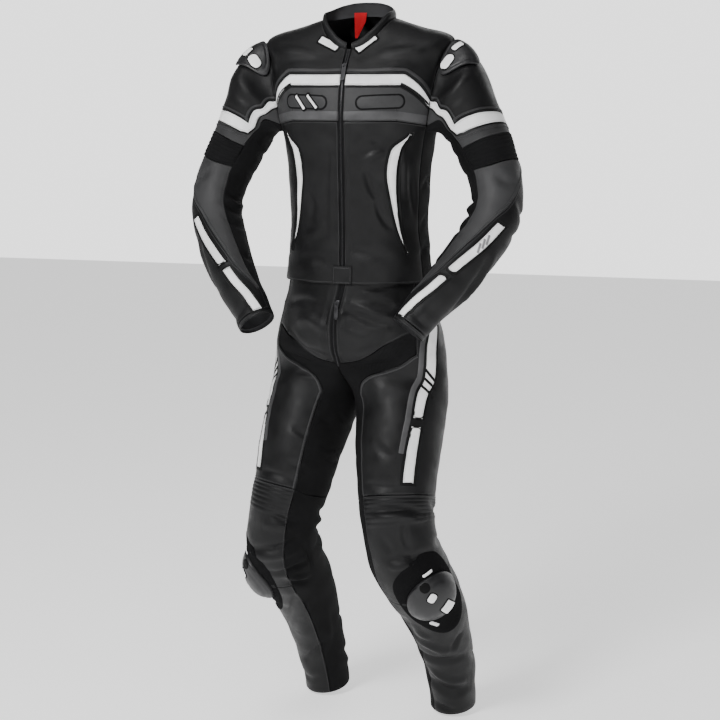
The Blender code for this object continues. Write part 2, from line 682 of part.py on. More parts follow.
def collar_grid(grid):
    """The collar stands on the neck line: [long line][row], from the zip to centre back."""
    neck = torso_rows()["neck"]
    feet = [grid[i][neck] for i in range(CENTRE_BACK + 1) if i not in (SIDE_MID, SIDE_BACK)]
    columns = []
    for foot, height in zip(feet, COLLAR_HEIGHTS):
        out = np.array([foot[0], foot[1], 0.0])
        out /= np.linalg.norm(out)
        columns.append([foot + (np.array([0, 0, 1.0]) + out * COLLAR_LEAN) * height * k / COLLAR_ROWS
                        for k in range(COLLAR_ROWS + 1)])
    return columns


def zip_cells(left, right, rows):
    """The strip between the two zip edges."""
    return [[right[0][j], left[0][j], left[0][j + 1], right[0][j + 1]] for j in range(*rows)]


def hem_tab_cells(left, right, rows):
    strip = zip_cells(left, right, rows)
    return strip + block(left, (0, 1), rows) + block(right, (0, 1), rows, -1)


def sleeve_pieces(grid, side):
    row = {line.name: number for number, line in enumerate(SLEEVE_LINES)}

    def cells(columns, first, last):
        return block(grid, columns, (row[first], row[last]), -side, wrap=True)

    return {
        "sleeve_head": cells((5, 13), "armhole", "stripe_top"),
        "sleeve_stripe": cells((4, 5), "armhole", "stripe_low")
        + cells((5, 13), "stripe_top", "stripe_low"),
        "sleeve_band": cells((2, 4), "armhole", "band_low") + cells((4, 13), "stripe_low", "band_low"),
        "sleeve_ribs": cells((2, 13), "band_low", "ribs_low"),
        "elbow": cells((2, 8), "ribs_low", "lower_arm"),
        "sleeve_inner": cells((13, 16), "armhole", "cuff_top"),
        "forearm": cells((2, 8), "lower_arm", "cuff_top") + cells((8, 9), "ribs_low", "cuff_top")
        + cells((10, 13), "ribs_low", "cuff_top") + cells((9, 10), "ribs_low", "strip_start")
        + cells((9, 10), "strip_gap_top", "strip_gap_low"),
        "forearm_stripe_upper": cells((9, 10), "strip_start", "strip_gap_top"),
        "forearm_stripe_lower": cells((9, 10), "strip_gap_low", "cuff_top"),
        "cuff": cells((0, SLEEVE_COLUMNS), "cuff_top", "cuff"),
    }


# ---------------------------------------------------------------- the trousers
def leg_rows():
    return {line.name: number for number, line in enumerate(LEG_LINES)}


def leg_pieces(grid, side):
    row = leg_rows()

    def cells(columns, first, last):
        return block(grid, columns, (row[first], row[last]), -side, wrap=True)

    return {
        "hip_front": cells((1, 3), "waist", "band_top"),
        "thigh": cells((0, 3), "band_low", "accordion_top") + cells((3, 4), "waist", "accordion_top")
        + cells((4, 5), "waist", "stripe_start") + cells((4, 5), "stripe_gap_top", "stripe_gap_low")
        + cells((4, 5), "stripe_end", "accordion_top") + cells((5, 7), "waist", "accordion_top")
        + cells((7, 11), "band_low", "accordion_top"),
        "side_stripe_upper": cells((4, 5), "stripe_start", "stripe_gap_top"),
        "side_stripe_lower": cells((4, 5), "stripe_gap_low", "stripe_end"),
        "knee": cells((0, 8), "accordion_top", "knee_low"),
        "shin": cells((0, 8), "knee_low", "hem"),
        "calf": cells((8, 16), "accordion_top", "hem"),
    }


def groin_cells(grid, side):
    row = leg_rows()
    band = block(grid, (0, 3), (row["band_top"], row["band_low"]), -side)
    corner = block(grid, (15, 16), (row["band_top"], row["band_low"]), -side, wrap=True)
    inside = block(grid, (11, 16), (row["band_low"], row["accordion_top"]), -side, wrap=True)
    return band + corner + inside


def seat_cells(grid, side):
    row = leg_rows()
    return block(grid, (7, 11), (row["waist"], row["band_low"]), -side)


def fly_cells(grid, side):
    return block(grid, (0, 1), (0, FLY_TO_LINE), -side)


# ---------------------------------------------------------------- hard pieces
def dome(name, place, normal, size):
    """A domed plate that follows the cloth under it. place(a, b) gives the cloth's point a metres
    along the plate and b metres across it, normal(a, b) its outward direction."""
    shell = bmesh.new()
    lift, rim = size.lift, size.lift + size.rim

    def vertex(share, angle, height):
        a = size.half_length * share * math.cos(angle)
        b = size.half_width * share * math.sin(angle)
        return shell.verts.new(place(a, b) + normal(a, b) * height)

    rings = {"top": [], "base": []}
    for number in range(DOME_RINGS, 0, -1):
        share = number / DOME_RINGS
        height = rim + size.rise * (1 - share ** DOME_POWER)
        angles = [math.tau * k / DOME_SPOKES for k in range(DOME_SPOKES)]
        rings["top"].append([vertex(share, a, height) for a in angles])
        rings["base"].append([vertex(share, a, lift) for a in angles])
    crown = vertex(0, 0, rim + size.rise)
    seat = vertex(0, 0, lift)
    for kind, middle in (("top", crown), ("base", seat)):
        loops = rings[kind]
        for k in range(DOME_SPOKES):
            n = (k + 1) % DOME_SPOKES
            for outer, inner in zip(loops, loops[1:]):
                shell.faces.new([outer[k], outer[n], inner[n], inner[k]])
            shell.faces.new([loops[-1][k], loops[-1][n], middle])
    for k in range(DOME_SPOKES):
        n = (k + 1) % DOME_SPOKES
        shell.faces.new([rings["top"][0][n], rings["top"][0][k], rings["base"][0][k],
                         rings["base"][0][n]])
    bmesh.ops.recalc_face_normals(shell, faces=shell.faces)
    return add_object(name, shell)


def mirror(point, side):
    return point * (side, 1, 1)


def add_plate(name, tube, at, size, stand, side):
    """A hard plate that lies on a tube, its length along the limb. stand(point, side) puts a point
    of the tube on the left or the right of the garment."""
    u0, v0 = at
    per_turn = np.linalg.norm(tube.point(u0 + 0.01, v0) - tube.point(u0 - 0.01, v0)) / 0.02
    per_ring = np.linalg.norm(tube.point(u0, v0 + 0.1) - tube.point(u0, v0 - 0.1)) / 0.2

    def place(a, b):
        return stand(tube.point(u0 + b / per_turn, v0 + a / per_ring), side)

    def normal(a, b):
        step = 0.002
        ahead = place(a + step, b) - place(a - step, b)
        across = place(a, b + step) - place(a, b - step)
        out = np.cross(across, ahead)
        ring = v0 + a / per_ring
        middle = sum(stand(tube.point(k / 8, ring), side) for k in range(8)) / 8
        return out * math.copysign(1, out @ (place(a, b) - middle)) / np.linalg.norm(out)

    dome(name, place, normal, size)


def box(name, size, matrix, group=SUIT):
    shape = bmesh.new()
    bmesh.ops.create_cube(shape, size=1.0)
    bmesh.ops.scale(shape, vec=size, verts=shape.verts)
    made = add_object(name, shape, group)
    made.matrix_world = matrix
    return made


def hinge_frame(point, across, up):
    """Axes at a zip slider: x across the zip, y into the cloth and z up along the zip."""
    x = Vector(across).normalized()
    inward = Vector(up).cross(x).normalized()
    matrix = Matrix((x, inward, x.cross(inward))).transposed().to_4x4()
    matrix.translation = Vector(point)
    return matrix


def add_slider(strip, frame):
    """A zip's slider and its lug, united with the strip that it runs on."""
    body = box(strip.name + "_slider", ZIP_SLIDER,
               frame @ Matrix.Translation((0, SLIDER_DEPTH, 0)), "cutters")
    stand = (ZIP_SLIDER[1] + LUG[1]) / 2 - LUG_ROOT
    lug = box(strip.name + "_lug", LUG,
              frame @ Matrix.Translation((0, -stand, HINGE_RISE)), "cutters")
    for tool in (body, lug):
        union = strip.modifiers.new(tool.name, "BOOLEAN")
        union.operation = "UNION"
        union.object = tool


def add_pull(name, frame):
    """A pull tab with a fork round the slider's lug. Its origin is on the hinge axis."""
    frame = frame @ Matrix.Translation((0, -HINGE_STAND, HINGE_RISE))
    shape = bmesh.new()
    half, slot = PULL_WIDTH / 2, LUG[0] / 2 + SEAM_GAP
    outline = [(-half, FORK_TOP), (-slot, FORK_TOP), (-slot, -FORK_DEPTH), (slot, -FORK_DEPTH),
               (slot, FORK_TOP), (half, FORK_TOP)]
    outline += [(half * math.cos(a), -PULL_LENGTH + half - half * math.sin(a))
                for a in (math.pi * k / 8 for k in range(9))]
    front = shape.faces.new([shape.verts.new((x, 0, z)) for x, z in outline])
    deep = bmesh.ops.extrude_face_region(shape, geom=[front])
    moved = [v for v in deep["geom"] if isinstance(v, bmesh.types.BMVert)]
    bmesh.ops.translate(shape, vec=(0, PULL_WALL, 0), verts=moved)
    bmesh.ops.translate(shape, vec=(0, -PULL_WALL / 2, 0), verts=shape.verts)
    bmesh.ops.triangulate(shape, faces=shape.faces)
    bmesh.ops.recalc_face_normals(shape, faces=shape.faces)
    made = add_object(name, shape)
    made.matrix_world = frame
    return made


def add_label():
    """The blank label that hangs inside the back of the neck."""
    width, length, thickness = LABEL
    curve = bpy.data.curves.new("neck_label", "CURVE")
    curve.dimensions = "2D"
    curve.fill_mode = "BOTH"
    curve.extrude = thickness / 2
    spline = curve.splines.new("POLY")
    corners = [(x * width, y * length) for x, y in LABEL_SHAPE]
    spline.points.add(len(corners) - 1)
    for point, (x, y) in zip(spline.points, corners):
        point.co = (x, y, 0, 1)
    spline.use_cyclic_u = True
    flat = bpy.data.objects.new("label_outline", curve)
    collection(SUIT).objects.link(flat)
    evaluated = flat.evaluated_get(bpy.context.evaluated_depsgraph_get())
    shape = bmesh.new()
    shape.from_mesh(bpy.data.meshes.new_from_object(evaluated))
    bpy.data.objects.remove(flat)
    bmesh.ops.remove_doubles(shape, verts=shape.verts, dist=0.0001)
    bmesh.ops.recalc_face_normals(shape, faces=shape.faces)
    made = add_object("neck_label", shape)
    made.location = LABEL_TOP
    made.rotation_euler = (math.pi / 2, 0, 0)


# ---------------------------------------------------------------- assembly
def main():
    clear_scene()
    torso = torso_tube()
    left = torso_grid(torso)
    right = mirrored(left)
    collar = collar_grid(left)
    sleeve = sleeve_tube(armhole_loop(left))
    sleeve_left = sleeve_grid(sleeve)
    trouser = trouser_tube()
    leg = leg_grid(trouser)
    leg_left, leg_right = ([[turned(p, side) for p in line] for line in leg] for side in (1, -1))
    row = torso_rows()

    jacket = {"back": back_cells(left, 1) + back_cells(right, -1),
              "main_zip": zip_cells(left, right, (row["hem"], row["neck"])),
              "collar": block(collar, (0, len(collar) - 1), (0, COLLAR_ROWS))
              + block(mirrored(collar), (0, len(collar) - 1), (0, COLLAR_ROWS), -1)}
    trousers = {"seat": seat_cells(leg_left, 1) + seat_cells(leg_right, -1),
                "groin": groin_cells(leg_left, 1) + groin_cells(leg_right, -1),
                "fly": fly_cells(leg_left, 1) + fly_cells(leg_right, -1)}
    for name, side, torso_side, sleeve_side, leg_side in (
            ("_left", 1, left, sleeve_left, leg_left),
            ("_right", -1, right, mirrored(sleeve_left), leg_right)):
        jacket.update({k + name: v for k, v in jacket_half(torso_side, side).items()})
        jacket.update({k + name: v for k, v in sleeve_pieces(sleeve_side, side).items()})
        trousers.update({k + name: v for k, v in leg_pieces(leg_side, side).items()})

    for garment in (jacket, trousers):
        pieces = {name: real_cells(cells) for name, cells in garment.items()}
        normals = shared_normals(pieces)
        walls = {name: wall(name, cells, normals) for name, cells in pieces.items()}
        if garment is jacket:
            tab = real_cells(hem_tab_cells(left, right, (row["hem"], row["pocket_low"] - 1)))
            wall("hem_tab", tab, normals, OVERLAY_LIFT, OVERLAY_WALL)
            zip_top = (left[0][row["yoke"]] + right[0][row["yoke"]]) / 2
            up = zip_top - (left[0][row["stripe_low"]] + right[0][row["stripe_low"]]) / 2
            frame = hinge_frame(zip_top, (1, 0, 0), up)
            add_slider(walls["main_zip"], frame)
            add_pull("main_zip_pull", frame)
        else:
            fly_top = (leg_left[0][1] + leg_left[0][2]) / 2
            frame = hinge_frame(fly_top, leg_left[1][2] - leg_right[1][2],
                                leg_left[0][1] - leg_left[0][2])
            add_slider(walls["fly"], frame)
            add_pull("fly_pull", frame)
    for name, side in (("_left", 1), ("_right", -1)):
        add_plate("shoulder_cap" + name, sleeve, CAP_AT, CAP_SIZE, mirror, side)
        add_plate("knee_slider" + name, trouser, SLIDER_AT, SLIDER_SIZE, turned, side)
    add_label()


main()
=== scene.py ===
"""Looks of the two-piece leather race suit: panels with sewn seams, folds and ribs, and its trim.

Metres, Z up; the garment's front faces -Y and its left is +X. The cloth follows the same smooth
tubes and seam lines as the solids, on a finer net.
"""
import json
import math
from collections import namedtuple

import bmesh
import bpy
import numpy as np
from mathutils import Matrix, Vector
from mathutils.bvhtree import BVHTree


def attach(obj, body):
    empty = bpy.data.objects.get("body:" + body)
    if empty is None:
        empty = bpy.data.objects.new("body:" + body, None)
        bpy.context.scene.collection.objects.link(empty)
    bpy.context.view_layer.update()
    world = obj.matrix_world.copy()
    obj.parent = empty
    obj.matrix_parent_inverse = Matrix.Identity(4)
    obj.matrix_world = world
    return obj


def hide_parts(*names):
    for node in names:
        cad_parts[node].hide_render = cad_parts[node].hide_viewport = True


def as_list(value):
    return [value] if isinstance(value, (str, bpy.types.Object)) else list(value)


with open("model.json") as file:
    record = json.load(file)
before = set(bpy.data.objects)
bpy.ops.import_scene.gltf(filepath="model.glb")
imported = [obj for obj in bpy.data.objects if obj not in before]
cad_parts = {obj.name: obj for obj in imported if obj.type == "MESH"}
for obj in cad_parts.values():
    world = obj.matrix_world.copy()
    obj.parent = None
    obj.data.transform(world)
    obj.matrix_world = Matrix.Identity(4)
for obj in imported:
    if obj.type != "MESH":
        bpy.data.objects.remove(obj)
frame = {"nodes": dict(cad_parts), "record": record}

bl_info = {
    "name": "Race suit",
    "version": (1, 0, 0),
    "blender": (4, 5, 0),
    "location": "3D View > Sidebar > Race suit",
    "description": "Builds the finished look of a two-piece leather race suit",
    "category": "Object",
}

BODY = "suit"
ZIP_HALF = 0.005            # half of the zip that shows between the two fronts
TAB_HALF = 0.020            # half width of the flap over the lower end of the main zip
HIP_TURN = math.radians(-8)     # the trousers stand turned a little to the wearer's right
TURN_FROM = -0.50           # height where that turn starts
TURN_OVER = 0.11            # drop over which it is reached
FLY_HALF = 0.006            # half width of the flap over the fly
FLY_TO_LINE = 4             # the fly ends at this cross seam
TINY = 1e-9                 # places this close count as the same


def level(kind, name, at, *more):
    """A cross seam that runs at one height or place all round."""
    return kind(name, *[at] * (len(kind._fields) - 1 - len(more)), *more)


# ---------------------------------------------------------------- torso
Ring = namedtuple("Ring", "name half_width front back z_front z_side z_back")
TORSO_RINGS = [
    Ring("hem", 0.150, 0.115, 0.105, -0.522, -0.522, -0.522),
    Ring("low", 0.144, 0.113, 0.100, -0.465, -0.465, -0.465),
    Ring("waist", 0.139, 0.112, 0.098, -0.410, -0.410, -0.410),
    Ring("ribs", 0.141, 0.116, 0.106, -0.340, -0.340, -0.340),
    Ring("under_chest", 0.146, 0.120, 0.116, -0.275, -0.280, -0.280),
    Ring("armpit", 0.155, 0.122, 0.122, -0.225, -0.226, -0.225),
    Ring("chest", 0.166, 0.121, 0.124, -0.185, -0.190, -0.180),
    Ring("upper_chest", 0.176, 0.114, 0.122, -0.140, -0.135, -0.125),
    Ring("collarbone", 0.183, 0.101, 0.115, -0.110, -0.086, -0.080),
    Ring("tip", 0.190, 0.088, 0.100, -0.090, -0.044, -0.040),
    Ring("slope", 0.132, 0.079, 0.078, -0.079, -0.024, -0.012),
    Ring("neck", 0.072, 0.070, 0.055, -0.066, -0.006, 0.004),
]
TORSO_COLUMNS = 24
TORSO_SQUARENESS = 2.25

# Where the front and the back panels end at the side and the armhole, in turns from centre front.
Edge = namedtuple("Edge", "ring front back")
TORSO_EDGES = [
    Edge("hem", 0.205, 0.300),
    Edge("armpit", 0.200, 0.300),
    Edge("chest", 0.190, 0.300),
    Edge("upper_chest", 0.185, 0.295),
    Edge("collarbone", 0.200, 0.285),
    Edge("tip", 0.250, 0.250),
    Edge("neck", 0.250, 0.250),
]

# Cross seams and fold lines of the torso, by height: at centre front, at the bend of the chest
# stripe, at the side or armhole edge and at centre back. The pocket columns say where the two
# sides of the pocket trim run, as a share of the way from the zip to the edge.
Line = namedtuple("Line", "name centre bend edge back pocket_in pocket_out")
TORSO_LINES = [
    level(Line, "hem", -0.522, 0.74, 0.78),
    level(Line, "tab", -0.487, 0.74, 0.78),
    level(Line, "pocket_low", -0.462, 0.73, 0.76),
    level(Line, "belly", -0.415, 0.62, 0.69),
    level(Line, "waist", -0.360, 0.53, 0.63),
    level(Line, "ribs", -0.305, 0.47, 0.62),
    level(Line, "pocket_bulge", -0.262, 0.51, 0.66),
    Line("armpit", -0.232, -0.232, -0.226, -0.222, 0.73, 0.78),
    Line("grey_low", -0.205, -0.205, -0.214, -0.190, 0.54, 0.54),
    Line("chest", -0.168, -0.168, -0.198, -0.150, 0.54, 0.54),
    Line("stripe_low", -0.136, -0.136, -0.179, -0.118, 0.54, 0.54),
    Line("stripe_top", -0.115, -0.115, -0.166, -0.090, 0.54, 0.54),
    Line("yoke", -0.100, -0.096, -0.112, -0.062, 0.54, 0.54),
]
DOME_LINES = ("tip", "slope", "neck")   # above these the lines are rings of the shoulder itself
STRIPE_BEND = 0.54                      # share of the front where the chest stripe turns down
FRONT_SHARE = 0.30                      # where the middle fold line of the front runs
BACK_COLUMNS = 4
SIDE_FRONT, SIDE_MID, SIDE_BACK, CENTRE_BACK = 5, 6, 7, 11

# ---------------------------------------------------------------- collar
COLLAR_HEIGHTS = (0.012, 0.015, 0.018, 0.016, 0.016, 0.014, 0.018, 0.022, 0.024, 0.024)
COLLAR_LEAN = -0.15         # outward lean as a share of the height

# ---------------------------------------------------------------- sleeve
Station = namedtuple("Station", "name x y z half_width half_depth tilt", defaults=(0,))
SLEEVE_STATIONS = [             # tilt: degrees that the outer end of a ring is raised
    Station("head", 0.209, -0.010, -0.160, 0.080, 0.068, 36),
    Station("biceps", 0.242, -0.006, -0.222, 0.060, 0.062, 12),
    Station("above_elbow", 0.266, -0.012, -0.275, 0.055, 0.056),
    Station("elbow", 0.288, -0.027, -0.330, 0.052, 0.053),
    Station("below_elbow", 0.289, -0.052, -0.392, 0.051, 0.051),
    Station("forearm", 0.256, -0.094, -0.458, 0.049, 0.048),
    Station("wrist", 0.207, -0.142, -0.528, 0.042, 0.041),
    Station("cuff_top", 0.178, -0.162, -0.564, 0.039, 0.037),
    Station("cuff", 0.154, -0.178, -0.598, 0.037, 0.035),
]
SLEEVE_COLUMNS = 14

# Long seams of the sleeve, in degrees round the arm from the underarm (90 is the front and 180 the
# outside), for places along the sleeve counted in stations from the armhole.
SleeveSeam = namedtuple("SleeveSeam", "at stretch_front stripe_in stripe_out grey_back strip_in"
                        " strip_out stretch_back")
ARMHOLE_STEP = 360 / SLEEVE_COLUMNS
SLEEVE_SEAMS = [
    SleeveSeam(0.00, *(ARMHOLE_STEP * k for k in (2, 4, 5, 8, 9, 10, 13))),
    SleeveSeam(0.35, 64, 77, 88, 200, 225, 255, 332),
    SleeveSeam(0.90, 44, 53, 64, 200, 225, 255, 330),
    SleeveSeam(1.45, 46, 54, 65, 200, 225, 255, 328),
    SleeveSeam(1.95, 58, 65, 78, 200, 225, 255, 326),
    SleeveSeam(3.40, 62, 76, 96, 205, 225, 255, 322),
    SleeveSeam(4.20, 55, 80, 108, 165, 185, 212, 320),
    SleeveSeam(5.10, 48, 62, 84, 108, 118, 140, 318),
    SleeveSeam(5.90, 37, 50, 66, 82, 95, 118, 318),
    SleeveSeam(6.75, 27, 36, 46, 56, 68, 92, 318),
    SleeveSeam(7.80, 8, 11, 14, 17, 46, 74, 318),
    SleeveSeam(9.00, 8, 12, 16, 20, 30, 62, 318),
]
SEAM_COLUMNS = (2, 4, 5, 8, 9, 10, 13)

# Cross seams of the sleeve, in stations from the armhole, at four places round the arm.
SleeveLine = namedtuple("SleeveLine", "name inner front outer back")
SLEEVE_LINES = [
    level(SleeveLine, "armhole", 0.00),
    SleeveLine("head", 0.45, 0.70, 0.80, 0.80),
    SleeveLine("stripe_top", 0.90, 1.66, 2.08, 2.08),
    SleeveLine("stripe_low", 1.30, 2.03, 2.32, 2.32),
    SleeveLine("band_low", 2.30, 2.52, 2.62, 2.62),
    SleeveLine("ribs_low", 3.40, 3.55, 3.38, 3.30),
    SleeveLine("upper_arm", 4.10, 4.15, 4.05, 3.95),
    SleeveLine("bend_top", 4.70, 4.75, 4.70, 4.65),
    level(SleeveLine, "strip_start", 5.25),
    level(SleeveLine, "bend_low", 5.90),
    level(SleeveLine, "strip_gap_top", 6.62),
    level(SleeveLine, "strip_gap_low", 6.76),
    level(SleeveLine, "lower_arm", 7.75),
    level(SleeveLine, "cuff_top", 8.78),
    level(SleeveLine, "cuff", 9.00),
]

# ---------------------------------------------------------------- trousers
TRUNK_RINGS = [
    Ring("waist", 0.1410, 0.1075, 0.0965, -0.500, -0.500, -0.500),
    Ring("belly", 0.1515, 0.1125, 0.1065, -0.547, -0.547, -0.547),
    Ring("hip", 0.166, 0.120, 0.124, -0.595, -0.595, -0.595),
    Ring("seat", 0.180, 0.117, 0.132, -0.650, -0.650, -0.650),
    Ring("crotch", 0.189, 0.098, 0.118, -0.690, -0.715, -0.700),
]
FORK_RING = 4               # the ring where the two halves part
CROTCH_DROP = 0.036         # how far the fork hangs below the ends of the two rises
TRUNK_COLUMNS = 11          # from centre front round the side to centre back
FORK_COLUMNS = 5            # across the fork, from centre back to centre front
LEG_COLUMNS = TRUNK_COLUMNS + FORK_COLUMNS
LEG_STATIONS = [
    Station("thigh_top", 0.099, -0.012, -0.780, 0.091, 0.098),
    Station("thigh", 0.109, -0.050, -0.862, 0.084, 0.092),
    Station("thigh_low", 0.118, -0.074, -0.940, 0.077, 0.083),
    Station("above_knee", 0.129, -0.088, -1.002, 0.072, 0.078),
    Station("knee", 0.139, -0.080, -1.064, 0.073, 0.078),
    Station("below_knee", 0.146, -0.034, -1.122, 0.071, 0.077),
    Station("calf_top", 0.149, 0.016, -1.174, 0.068, 0.072),
    Station("calf", 0.152, 0.058, -1.232, 0.063, 0.066),
    Station("calf_low", 0.153, 0.092, -1.290, 0.057, 0.060),
    Station("shin_low", 0.154, 0.119, -1.346, 0.053, 0.055),
    Station("ankle", 0.152, 0.138, -1.404, 0.049, 0.051),
    Station("hem", 0.151, 0.147, -1.442, 0.048, 0.050),
]

# Long seams of the side stripes, in columns round the trouser half from centre front.
LegSeam = namedtuple("LegSeam", "at grey_front stripe_front stripe_back")
LEG_SEAMS = [
    LegSeam(0.0, 4.00, 5.10, 6.00),
    LegSeam(2.3, 3.75, 4.70, 5.55),
    LegSeam(3.4, 3.35, 3.85, 4.65),
    LegSeam(4.6, 3.10, 3.52, 4.22),
    LegSeam(5.5, 2.98, 3.45, 4.05),
    LegSeam(6.2, 2.85, 3.24, 3.92),
    LegSeam(6.9, 2.70, 3.08, 3.82),
    LegSeam(8.0, 2.90, 3.50, 4.20),
    LegSeam(16.0, 3.30, 3.90, 4.50),
]

# Cross seams of the trouser half, in rings from the waist, at centre front (or the inner front of
# the leg), over the groin, at the side, at centre back (or the inner back) and inside the leg.
LegLine = namedtuple("LegLine", "name front groin side back inner")
GROIN_COLUMN = 1.3
LEG_LINES = [
    LegLine("waist", 0.00, 0.00, 0.00, 0.00, 4.0),
    LegLine("belly", 0.80, 0.80, 0.75, 0.80, 4.0),
    LegLine("stripe_start", 1.80, 1.60, 1.55, 1.70, 4.0),
    LegLine("hip", 2.90, 2.30, 1.95, 2.60, 4.0),
    LegLine("band_top", 4.00, 3.00, 2.32, 3.40, 4.0),
    LegLine("band_low", 4.90, 4.20, 2.95, 4.00, 4.0),
    LegLine("thigh_top", 5.20, 4.90, 4.20, 4.60, 4.6),
    LegLine("stripe_gap_top", 5.60, 5.52, 5.46, 5.40, 5.3),
    LegLine("stripe_gap_low", 5.80, 5.68, 5.62, 5.60, 5.6),
    LegLine("thigh_low", 6.35, 6.25, 6.20, 6.30, 6.3),
    LegLine("stripe_end", 6.85, 6.85, 6.85, 6.90, 6.9),
    LegLine("accordion_top", 7.12, 7.12, 7.12, 7.20, 7.2),
    LegLine("accordion_low", 7.90, 7.90, 7.90, 7.95, 7.9),
    level(LegLine, "knee", 8.80),
    level(LegLine, "knee_low", 9.80),
    level(LegLine, "shin_top", 10.80),
    level(LegLine, "shin", 12.20),
    level(LegLine, "shin_low", 13.80),
    level(LegLine, "hem", 16.00),
]


# ---------------------------------------------------------------- smooth tubes
NORMAL_STEP = 2e-3          # turns and rings from a place to those that give its direction
HALVINGS = 34               # enough to find a place far below a micrometre
ZIP_MARKS = 331             # places up the front where the edges of zip and flap are found
WIDEST = 0.15               # turns within which they lie
TAB_SHARE = 0.12            # the flap's long line as a share of the front


def run_length(path):
    """How far along a path each of its points is."""
    return np.concatenate([[0], np.cumsum(np.linalg.norm(np.diff(path, axis=0), axis=1))])


def nearest(values, at):
    return int(np.argmin(np.abs(values - at)))


def span(values, low, high):
    """Which of the values lie from low to high, by their numbers."""
    return np.nonzero((values >= low - TINY) & (values <= high + TINY))[0]


def blend(t):
    """Weights of the four points of a Catmull-Rom curve at t between the middle two."""
    return np.array([-t + 2 * t * t - t ** 3, 2 - 5 * t * t + 3 * t ** 3,
                     t + 4 * t * t - 3 * t ** 3, t ** 3 - t * t]) / 2


class Tube:
    """Smooth surface through closed loops: u in turns round a loop, v in loops along the tube."""

    def __init__(self, loops):
        loops = np.array(loops, float)
        before = 2 * loops[0] - loops[1]
        after = 2 * loops[-1] - loops[-2]
        self.loops = np.concatenate([before[None], loops, after[None]])
        self.last = len(loops) - 1
        self.columns = loops.shape[1]

    def point(self, u, v):
        """Points at arrays of places."""
        u, v = np.broadcast_arrays(np.asarray(u, float), np.asarray(v, float))
        across = u % 1.0 * self.columns
        column = across.astype(int)
        row = np.clip(v.astype(int), 0, self.last - 1)
        wide, long = blend(across - column), blend(v - row)
        total = np.zeros(u.shape + (3,))
        for a in range(4):
            for b in range(4):
                near = self.loops[row + a, (column + b - 1) % self.columns]
                total += (long[a] * wide[b])[..., None] * near
        return total

    def normal(self, u, v):
        """Directions out of the tube at arrays of places."""
        step = NORMAL_STEP
        low, high = np.maximum(v - step, 0.0), np.minimum(v + step, self.last)
        out = np.cross(self.point(u + step, v) - self.point(u - step, v),
                       self.point(u, high) - self.point(u, low))
        out /= np.maximum(np.linalg.norm(out, axis=-1), 1e-12)[..., None]
        middle = sum(self.point(k / 8 + 0 * v, v) for k in range(8)) / 8
        sign = np.sign((out * (self.point(u, v) - middle)).sum(-1))
        return out * np.where(sign == 0, 1, sign)[..., None]


def oval_point(ring, angle, squareness=2.0):
    """A point of a torso or trunk ring at an angle from centre front."""
    across, ahead = math.sin(angle), math.cos(angle)
    power = 2 / squareness
    x = ring.half_width * math.copysign(abs(across) ** power, across)
    depth = ring.front if ahead > 0 else ring.back
    y = -depth * math.copysign(abs(ahead) ** power, ahead)
    z_end = ring.z_front if ahead > 0 else ring.z_back
    return (x, y, ring.z_side + (z_end - ring.z_side) * ahead * ahead)


def torso_tube():
    angles = [math.tau * k / TORSO_COLUMNS for k in range(TORSO_COLUMNS)]
    return Tube([[oval_point(ring, a, TORSO_SQUARENESS) for a in angles] for ring in TORSO_RINGS])


def station_loop(stations, index, angles):
    """A ring square to the limb's centre line. Angles run from the front towards the outside."""
    here = stations[index]
    ahead = stations[min(index + 1, len(stations) - 1)]
    behind = stations[max(index - 1, 0)]
    centre = np.array([here.x, here.y, here.z])
    along = np.array([ahead.x - behind.x, ahead.y - behind.y, ahead.z - behind.z])
    along /= np.linalg.norm(along)
    deep = np.array([0.0, 1.0, 0.0]) - along[1] * along
    deep /= np.linalg.norm(deep)
    out = np.cross(along, deep)
    tilt = math.radians(here.tilt)
    out = out * math.cos(tilt) - along * math.sin(tilt)
    return [centre + out * here.half_width * math.sin(a) - deep * here.half_depth * math.cos(a)
            for a in angles]


def sleeve_tube(armhole):
    angles = [math.radians(ARMHOLE_STEP * k - 90) for k in range(SLEEVE_COLUMNS)]
    rings = [station_loop(SLEEVE_STATIONS, i, angles) for i in range(len(SLEEVE_STATIONS))]
    return Tube([armhole] + rings)


def trunk_loop(ring, drop):
    """Half a trunk ring, from centre front round the side and back between the legs."""
    half = [oval_point(ring, math.pi * k / TRUNK_COLUMNS) for k in range(TRUNK_COLUMNS + 1)]
    half[0], half[-1] = (0.0, *half[0][1:]), (0.0, *half[-1][1:])
    back, front = np.array(half[-1]), np.array(half[0])
    fork = []
    for k in range(1, FORK_COLUMNS):
        share = k / FORK_COLUMNS
        sag = drop * math.sin(math.pi * share) ** 0.5
        fork.append(back + (front - back) * share - np.array([0.0, 0.0, sag]))
    return half + fork


def trouser_tube():
    step = math.tau / LEG_COLUMNS
    first = -math.pi / 2 + FORK_COLUMNS * step / 2
    angles = [first + step * k for k in range(LEG_COLUMNS)]
    loops = [trunk_loop(ring, CROTCH_DROP if ring.name == "crotch" else 0.0)
             for ring in TRUNK_RINGS]
    loops += [station_loop(LEG_STATIONS, i, angles) for i in range(len(LEG_STATIONS))]
    return Tube(loops)


# ---------------------------------------------------------------- where the seam lines run
def reached(function, target, low, high):
    """Where rising functions reach their targets, by halving."""
    low, high = np.full(np.shape(target), low), np.full(np.shape(target), high)
    for _ in range(HALVINGS):
        middle = (low + high) / 2
        under = function(middle) < target
        low, high = np.where(under, middle, low), np.where(under, high, middle)
    return (low + high) / 2


def ring_number(name):
    return [ring.name for ring in TORSO_RINGS].index(name)


